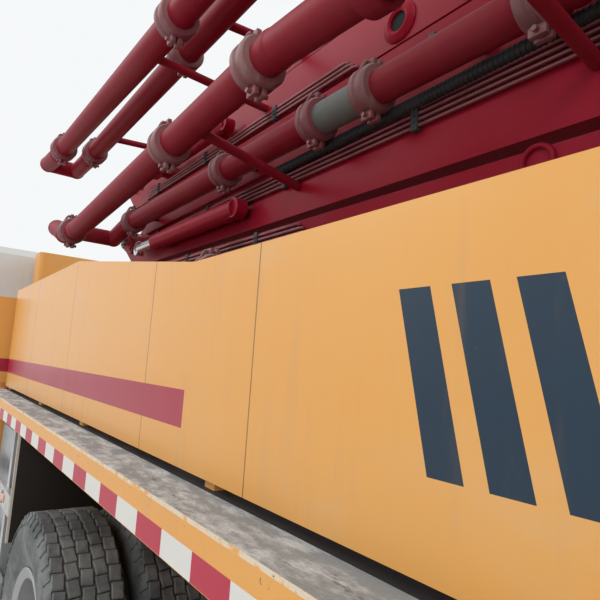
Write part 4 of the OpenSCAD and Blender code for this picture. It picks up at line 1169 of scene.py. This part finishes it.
# lamps, reflectors, mirror faces, trim and mudflaps: for each piece its body, slot, look, how round
# its blocks are, and the blocks' corners as (station, side, height) on the left; the right has the same
fittingSettings = {
    "headlamps": ("truck", "window_glass", "clear", 0.012, [
        ((0.004, 0.772, 0.572), (0.026, 0.900, 0.728)), ((0.004, 0.912, 0.572), (0.026, 1.048, 0.728))]),
    "rear_lamps": ("truck", "window_glass", "red", 0.008, [
        ((12.585, 0.470, 1.318), (12.603, 0.560, 1.382)), ((12.585, 0.565, 1.318), (12.603, 0.640, 1.382))]),
    "rear_turn_lamps": ("truck", "window_glass", "amber", 0.008, [
        ((12.585, 0.645, 1.318), (12.603, 0.720, 1.382))]),
    "rear_lamp_boxes": ("truck", "chassis_dark", "dark", 0.006, [
        ((12.540, 0.460, 1.310), (12.590, 0.730, 1.391))]),
    "beacons": ("cab", "window_glass", "amber", 0.020, [((0.585, 0.725, 2.985), (0.675, 0.955, 3.040))]),
    "mirror_glass": ("cab", "rod_chrome", "mirror", 0.004, [
        ((0.186, 1.290, 2.280), (0.193, 1.400, 2.680)), ((0.186, 1.290, 2.085), (0.193, 1.400, 2.260))]),
    "cab_trim": ("cab", "chassis_dark", "dark", 0.006, [
        ((0.030, 0.10, 1.945), (0.062, 1.00, 1.985)), ((0.030, 0.10, 1.225), (0.062, 0.98, 1.260)),
        ((0.35, 1.196, 1.200), (1.31, 1.212, 1.235))]),
    "mudflaps": ("truck", "tyre", "flap", 0.003, [
        ((9.256, 0.66, 0.36), (9.264, 1.22, 0.80)), ((2.165, 0.92, 0.36), (2.173, 1.22, 0.80)),
        ((4.165, 0.92, 0.36), (4.173, 1.22, 0.80))]),
    "guard_reflectors": ("truck", "window_glass", "amber", 0.003, [
        ((5.60, 1.234, 0.90), (5.70, 1.240, 0.94)), ((6.40, 1.234, 0.90), (6.50, 1.240, 0.94))]),
}


def makeFittings(s, lamps):
    looks = {
        "clear": lampGlass(lamps, "lampClear", lamps["clear"]),
        "red": lampGlass(lamps, "lampRed", lamps["red"]),
        "amber": lampGlass(lamps, "lampAmber", lamps["amber"]),
        "mirror": bareMetal("mirrorFace", **lamps["mirror"]),
        "dark": plasticSkin("trimPlastic", lamps["trim"]),
        "flap": finishes["wheel"],
    }
    for name, (body, slot, look, soften, blocks) in s.items():
        bm = bmesh.new()
        for low, high in blocks:
            for sign in (1, -1):
                addBlock(bm, spot(low[0], sign * low[1], low[2]), spot(high[0], sign * high[1], high[2]),
                         soften)
        settle(bm, name, body, looks[look])


makeFittings(fittingSettings, lampSettings)

wiperSettings = {
    "sides": (0.62, -0.10),
    "foot": (0.066, 2.035),  # station, height
    "boss": (0.095, 0.055, 0.018),  # stations of its ends, radius
    "tip": (0.100, -0.341, 2.20),  # station, side from the foot, height
    "armRadius": 0.008,
    "bladeStart": (0.012, 0.34, -0.04),  # from the tip
    "bladeEnd": (-0.003, -0.34, 0.04),
    "bladeRadius": 0.007,
}


def makeWipers(s):
    bm = bmesh.new()
    station, height = s["foot"]
    front, back, radius = s["boss"]
    for side in s["sides"]:
        tip = spot(s["tip"][0], side + s["tip"][1], s["tip"][2])
        addBar(bm, spot(front, side, height), spot(back, side, height), radius, 16)
        addBar(bm, spot(station, side, height), tip, s["armRadius"], 8)
        addBar(bm, tip + Vector(s["bladeStart"]), tip + Vector(s["bladeEnd"]), s["bladeRadius"], 6)
    settle(bm, "wipers", "cab", finishes["cab_interior"])


makeWipers(wiperSettings)

# bolt heads on the side guards, and caps with six bolts on the boom's pins: body, place of the pin as
# (station, height), half its length, radius
boltSettings = {
    "guardStations": (5.34, 6.43),
    "guardHeights": (0.475, 0.535, 0.895, 0.945),
    "guardFace": 1.2352,
    "guardBolt": (0.006, 0.011, 0.8),  # height, radius, share of it left at the top
    "cap": (0.016, 0.018),  # height, how far it is wider than the pin
    "capBolts": (6, 0.8, 0.015, 0.026, 0.009),  # count, share of the pin's radius, start, end, radius
    "pins": [
        ("arm_2", (11.600, 2.445), 0.262, 0.055), ("arm_3", (4.700, 2.775), 0.222, 0.050),
        ("arm_4", (11.350, 3.215), 0.192, 0.045), ("arm_5", (4.350, 3.440), 0.162, 0.040)],
}


def makeGuardBolts(s):
    bm = bmesh.new()
    face = s["guardFace"]
    tall, radius, share = s["guardBolt"]
    for station in s["guardStations"]:
        for height in s["guardHeights"]:
            for sign in (1, -1):
                addPin(bm, station, height, sign * face, sign * (face + tall), radius, 12, radius * share)
    settle(bm, "guard_bolts", "truck", finishes["worn"])


def makePinCaps(s):
    tall, wider = s["cap"]
    count, share, start, end, boltRadius = s["capBolts"]
    for number, (body, (station, height), half, radius) in enumerate(s["pins"]):
        bm = bmesh.new()
        for sign in (1, -1):
            addPin(bm, station, height, sign * half, sign * (half + tall), radius + wider, 32)
            for i in range(count):
                angle = math.tau * i / count
                x = station + radius * share * math.cos(angle)
                z = height + radius * share * math.sin(angle)
                addPin(bm, x, z, sign * (half + start), sign * (half + end), boltRadius, 6)
        settle(bm, "pin_caps_%d" % number, body, finishes["worn"])


makeGuardBolts(boltSettings)
makePinCaps(boltSettings)
print("fittings ready")
